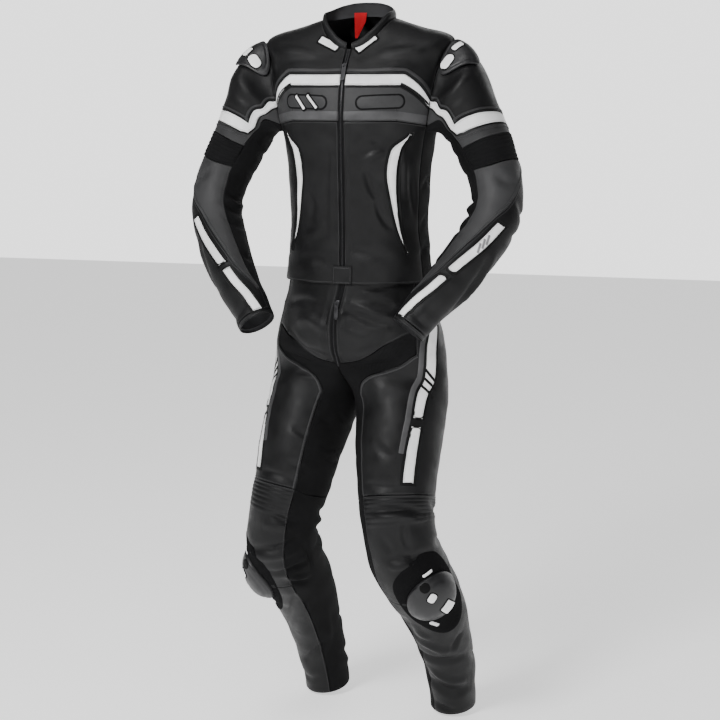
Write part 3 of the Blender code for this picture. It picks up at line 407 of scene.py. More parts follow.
def torso_places(tube):
    """Turns and rings of the left half's seam lines, each [long line, cross line]."""
    heights = np.linspace(0, tube.last, ZIP_MARKS)
    zip_edge, tab_edge = (reached(lambda u: tube.point(u, heights)[..., 0],
                                  np.full(ZIP_MARKS, half), 0.0, WIDEST)
                          for half in (ZIP_HALF, TAB_HALF))
    rings = [ring_number(edge.ring) for edge in TORSO_EDGES]

    def turn(column, line, v):
        front = np.interp(v, rings, [edge.front for edge in TORSO_EDGES])
        back = np.interp(v, rings, [edge.back for edge in TORSO_EDGES])
        if column >= SIDE_BACK:
            return back + (0.5 - back) * (column - SIDE_BACK) / BACK_COLUMNS
        if column == SIDE_MID:
            return (front + back) / 2
        if column == 1:
            return np.interp(v, heights, tab_edge)
        shares = (0.0, 0.0, FRONT_SHARE, line.pocket_in, line.pocket_out, 1.0)
        start = np.interp(v, heights, zip_edge)
        return start + (front - start) * shares[column]

    def height(line, column):
        if column >= SIDE_BACK:
            return line.edge + (line.back - line.edge) * (column - SIDE_BACK) / BACK_COLUMNS
        shares = (0.0, TAB_SHARE, FRONT_SHARE, line.pocket_in, line.pocket_out, 1.0, 1.0)
        return float(np.interp(shares[column], (0.0, STRIPE_BEND, 1.0),
                               (line.centre, line.bend, line.edge)))

    turns, places = [], []
    for column in range(CENTRE_BACK + 1):
        lines = [*TORSO_LINES] + [TORSO_LINES[-1]] * len(DOME_LINES)
        v = [float(reached(lambda v: tube.point(turn(column, line, v), v)[..., 2],
                           height(line, column), 0.0, ring_number("tip"))) for line in TORSO_LINES]
        v += [float(ring_number(name)) for name in DOME_LINES]
        turns.append([float(turn(column, line, at)) for line, at in zip(lines, v)])
        places.append(v)
    return np.array(turns), np.array(places)


def sleeve_places():
    """Turns and stations of the left sleeve's seam lines, each [long line, cross line]."""
    stations = [seam.at for seam in SLEEVE_SEAMS]

    def turn(column, at):
        known = [(0, 0.0)]
        for number, name in zip(SEAM_COLUMNS, SleeveSeam._fields[1:]):
            rows = [getattr(seam, name) for seam in SLEEVE_SEAMS]
            known.append((number, float(np.interp(at, stations, rows))))
        known.append((SLEEVE_COLUMNS, 360.0))
        return float(np.interp(column, *zip(*known))) / 360

    turns, places = [], []
    quarter = [0, 0.25, 0.5, 0.75, 1.0]
    for column in range(SLEEVE_COLUMNS + 1):
        across, along = [], []
        for line in SLEEVE_LINES:
            v = (line.inner, line.front, line.outer, line.back, line.inner)
            first = turn(column, float(np.interp(column / SLEEVE_COLUMNS, quarter, v)))
            place = float(np.interp(first, quarter, v))
            across.append(turn(column, place))
            along.append(place)
        turns.append(across)
        places.append(along)
    return np.array(turns), np.array(places)


def leg_column(number, at):
    """Where a long line of the trouser half runs, in columns from centre front."""
    places = [seam.at for seam in LEG_SEAMS]
    known = [0.0]
    for name in LegSeam._fields[1:]:
        known.append(float(np.interp(at, places, [getattr(s, name) for s in LEG_SEAMS])))
    known.append(float(TRUNK_COLUMNS))
    return float(np.interp(number, (0, 3, 4, 5, TRUNK_COLUMNS), known))


def leg_places(tube):
    """Turns and rings of the left trouser half's seam lines, each [long line, cross line]."""
    turns, places = [], []
    for number in range(LEG_COLUMNS + 1):
        across, along = [], []
        for row, line in enumerate(LEG_LINES):
            if number > TRUNK_COLUMNS:
                ends = (line.back, line.inner, line.inner, line.inner, line.inner, line.front)
                place, column = max(ends[number - TRUNK_COLUMNS], FORK_RING), number
            else:
                column = leg_column(number, line.side)
                if number == 1 and row <= FLY_TO_LINE:
                    column = float(reached(
                        lambda c: tube.point(c / LEG_COLUMNS, line.front)[..., 0],
                        FLY_HALF, 0.0, 2.0))
                place = float(np.interp(column, (0, GROIN_COLUMN, 4, 7, TRUNK_COLUMNS),
                                        (line.front, line.groin, line.side, line.side, line.back)))
            across.append(column / LEG_COLUMNS)
            along.append(place)
        turns.append(across)
        places.append(along)
    return np.array(turns), np.array(places)


def turned(points, side):
    """Trouser points on the left (1) or right (-1), turned with the stance from the waist down."""
    share = np.clip((TURN_FROM - points[..., 2]) / TURN_OVER, 0.0, 1.0)
    angle = HIP_TURN * share * share * (3 - 2 * share)
    x, y = points[..., 0] * side, points[..., 1]
    return np.stack([x * np.cos(angle) - y * np.sin(angle),
                     x * np.sin(angle) + y * np.cos(angle), points[..., 2]], -1)


def mirrored(points, side):
    """Jacket points on the left (1) or right (-1)."""
    return points * np.array([side, 1, 1])


def standing(kind, points, side):
    """Points of one kind of tube in the garment's own place."""
    return (turned if kind == "leg" else mirrored)(points, side)


def tag_of(side):
    return "_left" if side > 0 else "_right"


# ---------------------------------------------------------------- the fine net over each tube
NET_STEP = 0.0055           # between the net's lines
LONGEST = 85                # the percentile that counts as a strip's longest
RIB_PARTS = 5               # net lines to a rib
RIB_ROUNDING = 0.6          # power of the sine that a rib's section follows
RIB_FADE = 4                # a rib reaches its full depth within a fourth of a column
SEAM_ROLL = 0.0017          # from a seam to the net line beside it
NEAREST_SHARE = 0.22        # strips where that takes more of the width have no such line
CLEAR_SHARE = 1.7           # the next line is this many times as far from the seam
HEM_ROLL = 0.0006           # how far a folded edge turns in
EDGE_REACH = 0.03           # distances to a panel's edge are measured up to this
EDGE_BATCH = 4000           # points of the cloth measured at a time
WELD = 2e-5                 # points this close are one
CREASE = math.radians(50)   # sharper edges of the cloth aren't shaded smooth

Rib = namedtuple("Rib", "net line columns pitch depth")
RIBS = [
    Rib("leg", "accordion_top", (0, 8), 0.0088, 0.0009),
    Rib("sleeve", "band_low", (2, 13), 0.0075, 0.0015),
]


def eased(values, at):
    """Smooth curves without overshoot through rows of values, at fractional row numbers."""
    step = np.diff(values, axis=0)
    slope = np.zeros_like(values)
    both = step[:-1] * step[1:]
    total = step[:-1] + step[1:]
    slope[1:-1] = np.where(both > 0, 2 * both / np.where(total == 0, 1, total), 0)
    slope[0], slope[-1] = step[0], step[-1]
    row = np.minimum(at.astype(int), len(values) - 2)
    t = (at - row)[:, None]
    return (values[row] * (1 + 2 * t) * (1 - t) ** 2 + values[row + 1] * t * t * (3 - 2 * t)
            + slope[row] * t * (1 - t) ** 2 - slope[row + 1] * t * t * (1 - t))


def net_lines(lengths, steps):
    """Fractional seam numbers of the net's lines, with one close beside each seam."""
    marks = [0.0]
    for number, (widest, usual) in enumerate(lengths):
        count = max(math.ceil(widest / steps[number]), 1)
        near = SEAM_ROLL / max(usual, 1e-6)
        inside = [k / count for k in range(1, count)]
        if near < NEAREST_SHARE:
            clear = CLEAR_SHARE * near
            inside = [x for x in inside if clear < x < 1 - clear] + [near, 1 - near]
        marks += [number + x for x in sorted(inside)] + [number + 1.0]
    return np.array(marks)


def strip_lengths(points, axis):
    """Longest and usual length of each strip between seam lines."""
    gaps = np.linalg.norm(np.diff(points, axis=axis), axis=-1)
    gaps = np.moveaxis(gaps, axis, 0)
    return [(np.percentile(row, LONGEST), np.median(row)) for row in gaps]


class Net:
    """Points, directions and panels of one tube on one side of the garment."""

    def __init__(self, kind, tube, turns, places, names, side, smooth):
        self.kind, self.side, self.tube = kind, side, tube
        self.rows = {name: number for number, name in enumerate(names)}
        rough = tube.point(turns, places)
        steps = [NET_STEP] * (len(names) - 1)
        for rib in RIBS:
            if rib.net == kind:
                steps[self.rows[rib.line]] = rib.pitch / RIB_PARTS
        self.i = net_lines(strip_lengths(rough, 0), [NET_STEP] * (len(turns) - 1))
        self.j = net_lines(strip_lengths(rough, 1), steps)
        along = [eased(table.T, self.j) for table in (turns, places)]
        self.u, self.v = (np.stack([np.interp(self.i, np.arange(len(turns)), row)
                                    for row in table], 1) for table in along)
        if smooth:
            self.v = eased(along[1].T, self.i)
        self.base = tube.point(self.u, self.v)
        self.out = tube.normal(self.u, self.v)
        self.label = np.full((len(self.i) - 1, len(self.j) - 1), -1)
        self.pieces = []
        self.lift = np.zeros(self.u.shape)

    def add(self, name, *blocks):
        """A panel as blocks of (long lines), (cross lines)."""
        number = len(self.pieces)
        self.pieces.append(name)
        for columns, rows in blocks:
            low, high = (self.rows[row] if isinstance(row, str) else row for row in rows)
            across = (self.i[:-1] >= columns[0] - TINY) & (self.i[1:] <= columns[1] + TINY)
            along = (self.j[:-1] >= low - TINY) & (self.j[1:] <= high + TINY)
            self.label[np.ix_(across, along)] = number

    def neighbours(self):
        """Labels of the four cells round each net point, -2 where the net ends."""
        padded = np.full((len(self.i) + 1, len(self.j) + 1), -2)
        padded[1:-1, 1:-1] = self.label
        if self.kind != "torso":
            padded[0, 1:-1], padded[-1, 1:-1] = self.label[-1], self.label[0]
        return np.stack([padded[:-1, :-1], padded[1:, :-1], padded[:-1, 1:], padded[1:, 1:]])

    def find_edges(self):
        """Which net points lie on a sewn seam, and which on an open edge."""
        near = self.neighbours()
        edge = (near != near[:1]).any(0)
        open_rows = {"torso": (0,), "sleeve": (-1,), "leg": (0, -1)}[self.kind]
        free = np.zeros_like(edge)
        for row in open_rows:
            free[:, row] = True
        centre = np.abs(self.base[..., 0]) < 1e-6
        joined = centre & (np.where(near < 0, -1, near).max(0) >= 0)
        inner = np.where(near < 0, near.max(0)[None], near)
        joined &= (inner == inner[:1]).all(0)
        self.free = free & edge
        self.seam = edge & ~free & ~joined
        self.centre = centre

    def sink_seams(self, sizes):
        """Draws the leather in at its seams and swells it beside them."""
        beside = np.zeros_like(self.seam)
        beside[1:] |= self.seam[:-1]
        beside[:-1] |= self.seam[1:]
        beside[:, 1:] |= self.seam[:, :-1]
        beside[:, :-1] |= self.seam[:, 1:]
        self.lift += np.where(self.seam, -sizes.seam_depth, np.where(beside, sizes.seam_swell, 0))
        self.lift -= np.where(self.free, HEM_ROLL, 0)

    def add_ribs(self, sizes):
        """Raises the ribs of the stretch insert that crosses this net."""
        for rib in RIBS:
            if rib.net != self.kind:
                continue
            row = self.rows[rib.line]
            rows = (self.j >= row) & (self.j <= row + 1)
            share = np.clip(self.j - row, 0, 1)
            path = self.base[nearest(self.i, sum(rib.columns) / 2)][rows]
            length = np.linalg.norm(np.diff(path, axis=0), axis=1).sum()
            count = max(round(length / rib.pitch), 2)
            wave = np.abs(np.sin(math.pi * count * share)) ** RIB_ROUNDING
            first, last = rib.columns
            inside = np.clip(np.minimum(self.i - first, last - self.i) * RIB_FADE, 0, 1)
            self.lift += rib.depth * sizes.ribs * (wave * rows)[None] * inside[:, None]

    def finish(self):
        """The cloth's outer face in the garment's own place, and the directions out of it."""
        self.face, ahead = (
            standing(self.kind, self.base + self.out * (self.lift[..., None] + more), self.side)
            for more in (0, 1e-3))
        self.way = (ahead - self.face) * 1e3
        self.way /= np.linalg.norm(self.way, axis=-1)[..., None]


# ---------------------------------------------------------------- panels as meshes
def cells_of(net, chosen):
    """Net point numbers at the corners of the chosen cells."""
    wide = net.u.shape[1]
    i, j = np.nonzero(chosen)
    first = i * wide + j
    return np.stack([first, first + wide, first + wide + 1, first + 1], 1)


def corners_of(cell):
    """A cell without corners that fall together."""
    return [c for k, c in enumerate(cell) if c != cell[k - 1]]


def into_scene(name, data):
    made = bpy.data.objects.new(name, data)
    bpy.context.scene.collection.objects.link(made)
    return made


class Sheet:
    """Cells, points, directions and flat coordinates of a panel, gathered from several nets."""

    def __init__(self):
        self.points, self.ways, self.flat, self.cells = [], [], [], []
        self.count = 0

    def take(self, points, ways, flat, cells):
        used, where = np.unique(cells, return_inverse=True)
        self.points.append(points[used])
        self.ways.append(ways[used])
        self.flat.append(flat[used])
        self.cells.append(where.reshape(cells.shape) + self.count)
        self.count += len(used)

    def take_net(self, net, number):
        self.take(net.face.reshape(-1, 3), net.way.reshape(-1, 3), net.flat.reshape(-1, 2),
                  cells_of(net, net.label == number))

    def take_grid(self, points, ways, flat):
        """A grid of points as cells, whichever way round."""
        across, along = points.shape[:2]
        i, j = (n.ravel() for n in np.meshgrid(np.arange(across - 1), np.arange(along - 1),
                                               indexing="ij"))
        first = i * along + j
        cells = np.stack([first, first + along, first + along + 1, first + 1], 1)
        self.take(points.reshape(-1, 3), np.array(ways).reshape(-1, 3), flat.reshape(-1, 2), cells)

    def weld(self):
        """Joins points that fall together and turns every cell to face outwards."""
        points, ways = np.concatenate(self.points), np.concatenate(self.ways)
        flat, cells = np.concatenate(self.flat), np.concatenate(self.cells)
        code = np.round(points / WELD).astype(np.int64)
        _, first, same = np.unique(code, axis=0, return_index=True, return_inverse=True)
        same = same.reshape(-1)
        total = np.zeros((len(first), 3))
        np.add.at(total, same, ways)
        total /= np.maximum(np.linalg.norm(total, axis=1), 1e-9)[:, None]
        cells = same[cells]
        points, flat = points[first], flat[first]
        across = points[cells[:, 2]] - points[cells[:, 0]]
        along = points[cells[:, 3]] - points[cells[:, 1]]
        faces_in = (np.cross(across, along) * total[cells].mean(1)).sum(1) < 0
        cells[faces_in] = cells[faces_in][:, ::-1]
        return points, total, flat, cells


def rim_edges(cells):
    """Directed edges that belong to one cell only."""
    seen = {}
    for cell in cells.tolist():
        corners = corners_of(cell)
        for k, start in enumerate(corners):
            seen[start, corners[(k + 1) % len(corners)]] = True
    return [edge for edge in seen if (edge[1], edge[0]) not in seen]


def loops_of(edges):
    """Directed edges put end to end."""
    following = {}
    for start, end in edges:
        following.setdefault(start, []).append(end)
    loops = []
    while following:
        start = next(iter(following))
        loop = [start]
        while True:
            ends = following.get(loop[-1])
            if not ends:
                break
            end = ends.pop()
            if not ends:
                del following[loop[-1]]
            if end == start:
                break
            loop.append(end)
        loops.append(loop)
    return loops


def edge_distance(points, edges):
    """How far each point is from the panel's edge, and how far along the edge."""
    near, along = np.full(len(points), EDGE_REACH), np.zeros(len(points))
    for loop in loops_of(edges):
        start = points[loop]
        step = np.roll(start, -1, axis=0) - start
        length = np.linalg.norm(step, axis=1)
        before = np.concatenate([[0], np.cumsum(length)[:-1]])
        square = np.maximum(length ** 2, 1e-12)
        for low in range(0, len(points), EDGE_BATCH):
            batch = slice(low, low + EDGE_BATCH)
            part = points[batch]
            gap = part[:, None] - start[None]
            share = np.clip((gap * step[None]).sum(-1) / square[None], 0, 1)
            away = np.linalg.norm(gap - share[..., None] * step[None], axis=-1)
            best = away.argmin(1)
            pick = np.arange(len(part))
            closer = away[pick, best] < near[batch]
            value = before[best] + share[pick, best] * length[best]
            near[batch] = np.where(closer, away[pick, best], near[batch])
            along[batch] = np.where(closer, value, along[batch])
    return near, along


def shell(name, sheet, thickness, lift=0.0):
    """A thin closed shell on a panel: outer face, inner face and rim."""
    points, ways, flat, cells = sheet.weld()
    edges = rim_edges(cells)
    near, along = edge_distance(points, edges)
    outer = points + ways * lift
    count = len(points)
    faces = [corners_of(cell) for cell in cells.tolist()]
    faces = [face for face in faces if len(face) > 2]
    shown = len(faces)
    faces += [[c + count for c in reversed(face)] for face in faces]
    faces += [[b, a, a + count, b + count] for a, b in edges]
    mesh = bpy.data.meshes.new(name)
    mesh.from_pydata(np.concatenate([outer, outer - ways * thickness]).tolist(), [], faces)
    mesh.validate()
    mesh.shade_smooth()
    uv = mesh.uv_layers.new(name="Flat")
    corner = np.empty(len(mesh.loops), int)
    mesh.loops.foreach_get("vertex_index", corner)
    uv.data.foreach_set("uv", np.concatenate([flat, flat])[corner].astype(np.float32).ravel())
    for label, values in (("edge", near), ("along", along)):
        layer = mesh.attributes.new(label, "FLOAT", "POINT")
        back = np.full(count, EDGE_REACH) if label == "edge" else values
        layer.data.foreach_set("value", np.concatenate([values, back]).astype(np.float32))
    mesh.set_sharp_from_angle(angle=CREASE)
    inner = np.zeros(len(mesh.polygons), int)
    inner[shown:2 * shown] = 1
    mesh.polygons.foreach_set("material_index", inner)
    return into_scene(name, mesh)


# ---------------------------------------------------------------- folds
# Creases of the cloth on a net: the side (0 is both), how far it stands out and half its width in
# millimetres, and a path of places: degrees or columns round the tube and rings along it.
Fold = namedtuple("Fold", "side depth width path")
FOLDS = {net: [Fold(*row[:3], row[3:]) for row in rows] for net, rows in {
    "torso": (
        (1, 3.0, 10, (16.5, 3.84), (23.4, 4.07), (32.2, 4.26)),
        (1, -3.4, 9, (16.6, 3.71), (19, 3.33), (22.3, 3.01), (27.4, 2.79)),
        (1, -3.0, 8, (25.7, 2.76), (29.2, 2.41), (34.6, 2.13), (40.2, 1.94)),
        (1, -2.0, 8, (29.7, 4.71), (24.3, 4.63), (19.6, 4.66)),
        (1, 2.2, 6, (3.6, 5.26), (3.6, 4.27), (3.5, 3.32), (3.4, 2.48), (3.3, 1.55), (3.2, 0.75)),
        (-1, 1.4, 6, (6, 4.26), (7.6, 3.02), (9, 1.53)),
        (1, -2.0, 12, (6.8, 1.19), (19.9, 1.05), (38.8, 0.94)),
        (-1, -2.0, 12, (41.6, 0.66), (26.5, 0.84), (11.6, 0.8)),
        (1, 2.6, 10, (49.8, 4.24), (52, 3.58), (54.8, 2.88)),
        (1, -3.0, 10, (59.5, 3.58), (63.6, 2.87), (67.4, 2.32)),
        (-1, -1.8, 12, (31.5, 3), (25.2, 2.59), (28.2, 2.02)),
        (-1, 1.8, 12, (35.3, 1.55), (21.4, 1.8), (12.2, 2.13)),
        (0, -3.6, 12, (122, 1.5), (142, 1.85), (172, 1.6)),
        (0, 3.0, 13, (124, 2.0), (146, 2.35), (170, 2.1)),
        (0, -3.2, 12, (126, 2.7), (148, 2.95), (174, 2.8)),
        (0, -3.0, 13, (117, 5.2), (132, 4.6), (152, 4.1)),
        (0, 2.4, 14, (120, 4.3), (140, 3.8), (160, 3.6)),
        (0, -2.4, 14, (140, 9.7), (158, 9.25), (176, 9.3)),
        (0, -3.0, 12, (118, 7.6), (128, 6.8), (134, 5.9)),
        (0, -3.4, 10, (72, 0.9), (88, 1.25), (106, 0.95)),
        (0, -3.0, 10, (74, 1.9), (90, 2.2), (104, 1.95)),
        (0, -2.6, 10, (76, 3.0), (90, 3.3), (103, 3.1)),
        (0, 1.6, 14, (20, 9.6), (36, 9.2), (50, 8.6)),
        (0, -1.8, 14, (14, 8.9), (30, 8.7), (46, 8.1)),
    ),
    "sleeve": (
        (0, -4.0, 9, (-28, 4.45), (12, 4.75), (50, 4.55)),
        (0, 3.0, 9, (-24, 4.75), (14, 5.0), (46, 4.8)),
        (0, -4.4, 9, (-30, 5.05), (10, 5.25), (46, 5.05)),
        (0, -3.2, 9, (-22, 5.6), (18, 5.75), (50, 5.5)),
        (0, -2.6, 9, (-26, 6.3), (0, 6.6), (26, 6.5)),
        (0, -3.0, 11, (-30, 1.4), (0, 1.8), (28, 1.6)),
        (0, -3.0, 10, (-35, 2.3), (-5, 2.6), (26, 2.5)),
        (0, -2.6, 10, (-32, 3.3), (0, 3.5), (28, 3.4)),
        (0, -2.0, 12, (66, 0.55), (84, 1.0), (110, 1.35)),
        (0, 1.8, 14, (90, 0.6), (118, 1.0), (150, 1.3)),
        (0, -2.4, 12, (196, 0.8), (220, 1.15), (250, 1.3)),
        (0, -2.2, 12, (100, 3.85), (130, 4.15), (165, 4.1)),
        (0, -2.6, 11, (150, 4.5), (190, 4.75), (232, 4.5)),
        (0, -2.6, 11, (168, 5.4), (205, 5.15), (246, 5.35)),
        (0, -3.0, 9, (133, 5.9), (158, 6.5), (176, 7.2)),
        (0, 3.0, 10, (148, 5.8), (176, 6.5), (192, 7.3)),
        (0, -2.8, 10, (190, 6.2), (220, 6.8), (250, 7.1)),
        (0, -2.4, 9, (60, 8.25), (120, 8.45), (178, 8.2)),
        (0, -2.0, 9, (200, 7.9), (250, 8.2), (300, 8.0)),
    ),
    "leg": (
        (1, 2.8, 5, (0.42, 0.7), (0.42, 1.8), (0.43, 2.8), (0.40, 3.5)),
        (-1, -2.4, 6, (0.40, 0.6), (0.44, 1.6), (0.42, 2.6), (0.36, 3.4)),
        (1, -5.0, 10, (0.38, 1.45), (0.78, 1.62), (1.24, 1.81), (1.82, 2.01), (2.49, 2.09)),
        (1, 3.0, 10, (0.64, 1.29), (1.32, 1.49), (2.03, 1.72), (2.64, 1.81)),
        (1, -3.0, 8, (0.99, 0.59), (1.77, 0.63), (2.65, 0.56)),
        (1, -3.0, 9, (1.57, 1.16), (2.16, 1.24), (2.72, 1.41)),
        (1, -3.6, 9, (0.32, 2.18), (0.39, 2.66), (0.54, 3.37)),
        (1, 3.0, 12, (0.62, 2.3), (1.06, 2.5), (1.63, 2.56)),
        (1, -2.2, 10, (0.77, 3.03), (1.27, 2.82), (1.99, 2.49)),
        (-1, -3.6, 10, (2.38, 2.52), (1.87, 2.91), (1.31, 3.2), (0.43, 3.46)),
        (-1, 3.2, 12, (2.05, 2.27), (1.32, 2.02), (0.65, 2.23), (0.23, 2.47)),
        (-1, -3.0, 10, (3.06, 1.5), (2.05, 1.28), (0.98, 1.37)),
        (-1, -3.0, 6, (3.03, 3.33), (1.97, 3.58), (1.09, 3.88), (0.38, 4.07)),
        (-1, -2.6, 5, (2.52, 3.55), (1.88, 3.87), (1.17, 4.02)),
        (-1, -2.2, 5, (1.96, 4.28), (1.26, 4.42), (0.53, 4.54)),
        (-1, -1.6, 6, (0.2, 5.13), (-0.16, 5.13), (-0.5, 5.11)),
        (-1, -1.6, 6, (-0.28, 5.52), (-0.71, 5.52), (-1.09, 5.5)),
        (-1, -1.8, 6, (-0.89, 6.04), (-1.51, 6.05), (-2.25, 6)),
        (-1, -2.2, 8, (1.06, 5.84), (0.52, 5.87), (-0.01, 5.93)),
        (-1, -2.4, 8, (0.84, 6.56), (0.17, 6.59), (-0.5, 6.69)),
        (-1, -2.2, 9, (2.8, 6.88), (1.5, 6.88), (0.36, 6.92), (-0.22, 6.97)),
        (1, -2.2, 9, (0.51, 6.84), (1.49, 6.9), (2.61, 6.93)),
        (1, -1.6, 12, (1.09, 5.92), (1.91, 6.18), (2.64, 6.3)),
        (-1, -4.0, 8, (1.31, 7.86), (0.75, 7.91), (0.15, 7.97), (-0.86, 7.97)),
        (-1, 2.6, 12, (1.83, 8.14), (0.58, 8.14), (-0.68, 8.08)),
        (-1, -4.6, 8, (3.35, 8.87), (1.64, 8.69), (0.58, 8.62), (-0.39, 8.49), (-1.19, 8.38)),
        (-1, 2.6, 10, (2.7, 8.98), (1.16, 8.86), (0.01, 8.8), (-1.01, 8.69)),
        (-1, -4.0, 8, (1.53, 9.29), (0.46, 9.28), (-0.58, 9.21), (-1.64, 9.22)),
        (-1, 3.4, 7, (0.19, 9.39), (-0.55, 9.57), (-1.37, 9.78)),
        (-1, -3.6, 6, (0.3, 9.61), (-0.45, 9.78), (-1.21, 9.96)),
        (-1, -3.4, 8, (-1.49, 8.61), (-1.9, 9.1), (-1.84, 9.71)),
        (-1, -3.6, 10, (2.43, 14.28), (0.74, 13.63), (-0.62, 13.19)),
        (-1, 3.0, 14, (1.64, 12.52), (0.35, 11.36), (-0.48, 10.69)),
        (-1, -2.6, 10, (3.05, 12.47), (1.13, 11.06), (0.06, 10.21)),
        (-1, -3.0, 9, (3.93, 14.97), (2.75, 15.13), (0.89, 14.84)),
        (-1, 2.8, 12, (-1.42, 11.8), (-1.13, 12.85), (-0.44, 13.77)),
        (1, -4.4, 8, (0.61, 7.48), (1.69, 7.47), (2.77, 7.5), (3.87, 7.55), (5.1, 7.72)),
        (1, 3.2, 10, (1.01, 7.66), (2.22, 7.65), (3.29, 7.69), (4.3, 7.85)),
        (1, -2.2, 10, (3.34, 7.8), (3.02, 8.1), (3.18, 8.43)),
        (1, -4.4, 8, (1.45, 8.55), (2.43, 8.59), (3.52, 8.66), (4.71, 8.72)),
        (1, 3.0, 10, (1.47, 8.71), (2.45, 8.75), (3.31, 8.75)),
        (1, -2.0, 10, (1.44, 8.13), (1.76, 8.33), (2.11, 8.47)),
        (1, -5.0, 10, (-0.78, 12.77), (0.41, 12.85), (1.87, 12.93), (3.14, 13.05), (4.68, 13.18)),
        (1, 3.6, 10, (0.35, 12.06), (1.4, 12.19), (2.49, 12.48), (3.73, 12.63)),
        (1, -5.4, 9, (-0.32, 14.12), (1.12, 14.32), (2.28, 14.54), (3.45, 14.62), (4.62, 14.6)),
        (1, 4.0, 10, (0.59, 13.52), (1.65, 13.87), (2.88, 14.15), (4.36, 14.25)),
        (1, -3.4, 9, (0.48, 15.32), (1.77, 15.61), (2.88, 15.76)),
        (1, -3.4, 8, (3.25, 12.61), (3.98, 12.32), (4.68, 12.14)),
        (1, 3.0, 10, (1.11, 10.81), (1.18, 11.53), (2, 11.84)),
        (1, -2.6, 9, (0.81, 10.37), (0.2, 11.66), (0.81, 11.94)),
        (0, -3.0, 10, (4.6, 0.5), (5.6, 0.8), (6.8, 0.6)),
        (0, -3.4, 12, (7.6, 3.3), (9.0, 3.9), (10.8, 4.0)),
        (0, -4.0, 11, (7.6, 4.4), (9.4, 4.85), (11.4, 4.7)),
        (0, 3.0, 12, (7.8, 4.9), (9.6, 5.2), (11.6, 5.1)),
        (0, -3.0, 11, (7.8, 5.6), (9.6, 5.9), (12, 5.8)),
        (0, -3.4, 11, (8.2, 6.6), (10, 6.9), (12.6, 6.7)),
        (0, -4.8, 9, (8.3, 7.6), (10.5, 7.95), (13.2, 7.65)),
        (0, 3.6, 9, (8.4, 7.95), (10.5, 8.3), (13.2, 8.0)),
        (0, -5.2, 9, (8.5, 8.3), (10.6, 8.65), (13.3, 8.3)),
        (0, -4.4, 9, (8.6, 9.0), (10.8, 9.3), (13.4, 9.0)),
        (0, 3.0, 10, (8.6, 9.4), (10.6, 9.7), (13, 9.5)),
        (0, -3.0, 11, (8.4, 10.4), (10.4, 11.1), (12.4, 11.5)),
        (0, -3.4, 11, (8.8, 12.5), (10.8, 13.0), (13.2, 12.8)),
        (0, -4.0, 10, (8.2, 14.0), (10.6, 14.55), (13.8, 14.2)),
        (0, 3.0, 10, (8.4, 14.5), (10.6, 15.0), (13.6, 14.6)),
        (0, -3.0, 9, (5.2, 13.3), (6.4, 13.7), (7.8, 13.6)),
        (0, -2.6, 10, (5.4, 7.3), (6.6, 7.6), (7.9, 7.5)),
        (0, -2.8, 10, (5.6, 8.6), (6.7, 8.8), (7.9, 8.6)),
        (1, -3.0, 6, (3.0, 3.3), (2.0, 3.55), (1.1, 3.8), (0.4, 4.0)),
        (1, -1.8, 6, (-0.3, 5.5), (-0.8, 5.5), (-1.3, 5.45)),
        (0, -2.4, 8, (12.2, 5.2), (13.4, 5.4), (14.6, 5.3)),
        (0, -2.2, 8, (12.4, 6.1), (13.6, 6.3), (14.8, 6.2)),
    ),
}.items()}
UNIT = {"torso": 360, "sleeve": 360, "leg": LEG_COLUMNS}    # what a full turn counts on each tube
FOLD_POINTS = 14            # points of the line that a fold runs along
FOLD_SLOPE = 2.2            # a fold's half width is at least this many times its height
FOLD_ENDS = (0.02, 0.98)    # shares of its length between which its height changes
FOLD_TAPER = 0.6            # power of the sine that its height follows
FOLD_TROUGH = 0.7           # how much of it shows as troughs at its sides
FOLD_AT_SEAM = 0.35         # share of a fold that is left where it crosses a seam
# Worn leather's waves: strength, and two sines with radians a metre along x, y and z and a start.
WAVES = ((1.0, (61, 0, 23, 1.3), (0, -31, 47, 0.4)), (0.6, (41, 0, 97, 2.2), (0, 83, 29, 0)))
ARMHOLE_FADE = 0.3          # stations of the sleeve over which it takes up the armhole's true line
FLAT_MARKS = 200            # rings along a tube that its flat coordinates are measured at
FLAT_CHORDS = 32            # and chords round each
FORK_GAP = 0.0015           # least distance of a leg from the middle, one ring below the fork


def spline(path):
    """A smooth line through a few places."""
    path = np.array(path, float)
    padded = np.concatenate([[2 * path[0] - path[1]], path, [2 * path[-1] - path[-2]]])
    at = np.linspace(0, len(path) - 1, FOLD_POINTS)
    row = np.minimum(at.astype(int), len(path) - 2)
    weights = blend(at - row)
    return sum(weights[k][:, None] * padded[row + k] for k in range(4))


def crease(net, fold):
    """How far one fold lifts each point of the net."""
    line = net.tube.point(*(spline(fold.path) / (UNIT[net.kind], 1)).T)
    flat = net.base.reshape(-1, 3)
    away = np.full(len(flat), 1.0)
    share = np.zeros(len(flat))
    last = len(line) - 1
    for k in range(last):
        step = line[k + 1] - line[k]
        part = np.clip((flat - line[k]) @ step / (step @ step), 0, 1)
        gap = np.linalg.norm(flat - line[k] - part[:, None] * step, axis=1)
        closer = gap < away
        away = np.where(closer, gap, away)
        share = np.where(closer, (k + part) / last, share)
    width = max(fold.width, FOLD_SLOPE * abs(fold.depth)) / 1e3
    ratio = (away / width) ** 2
    taper = np.sin(math.pi * np.clip(share, *FOLD_ENDS)) ** FOLD_TAPER
    rise = fold.depth / 1e3 * taper * (1 - FOLD_TROUGH * ratio) * np.exp(-ratio)
    return rise.reshape(net.u.shape)


def unevenness(points):
    """The gentle waviness of worn leather."""
    x, y, z = (points[..., k] for k in range(3))
    total = 0
    for part, *factors in WAVES:
        for a, b, c, start in factors:
            part = part * np.sin(a * x + b * y + c * z + start)
        total = total + part
    return total


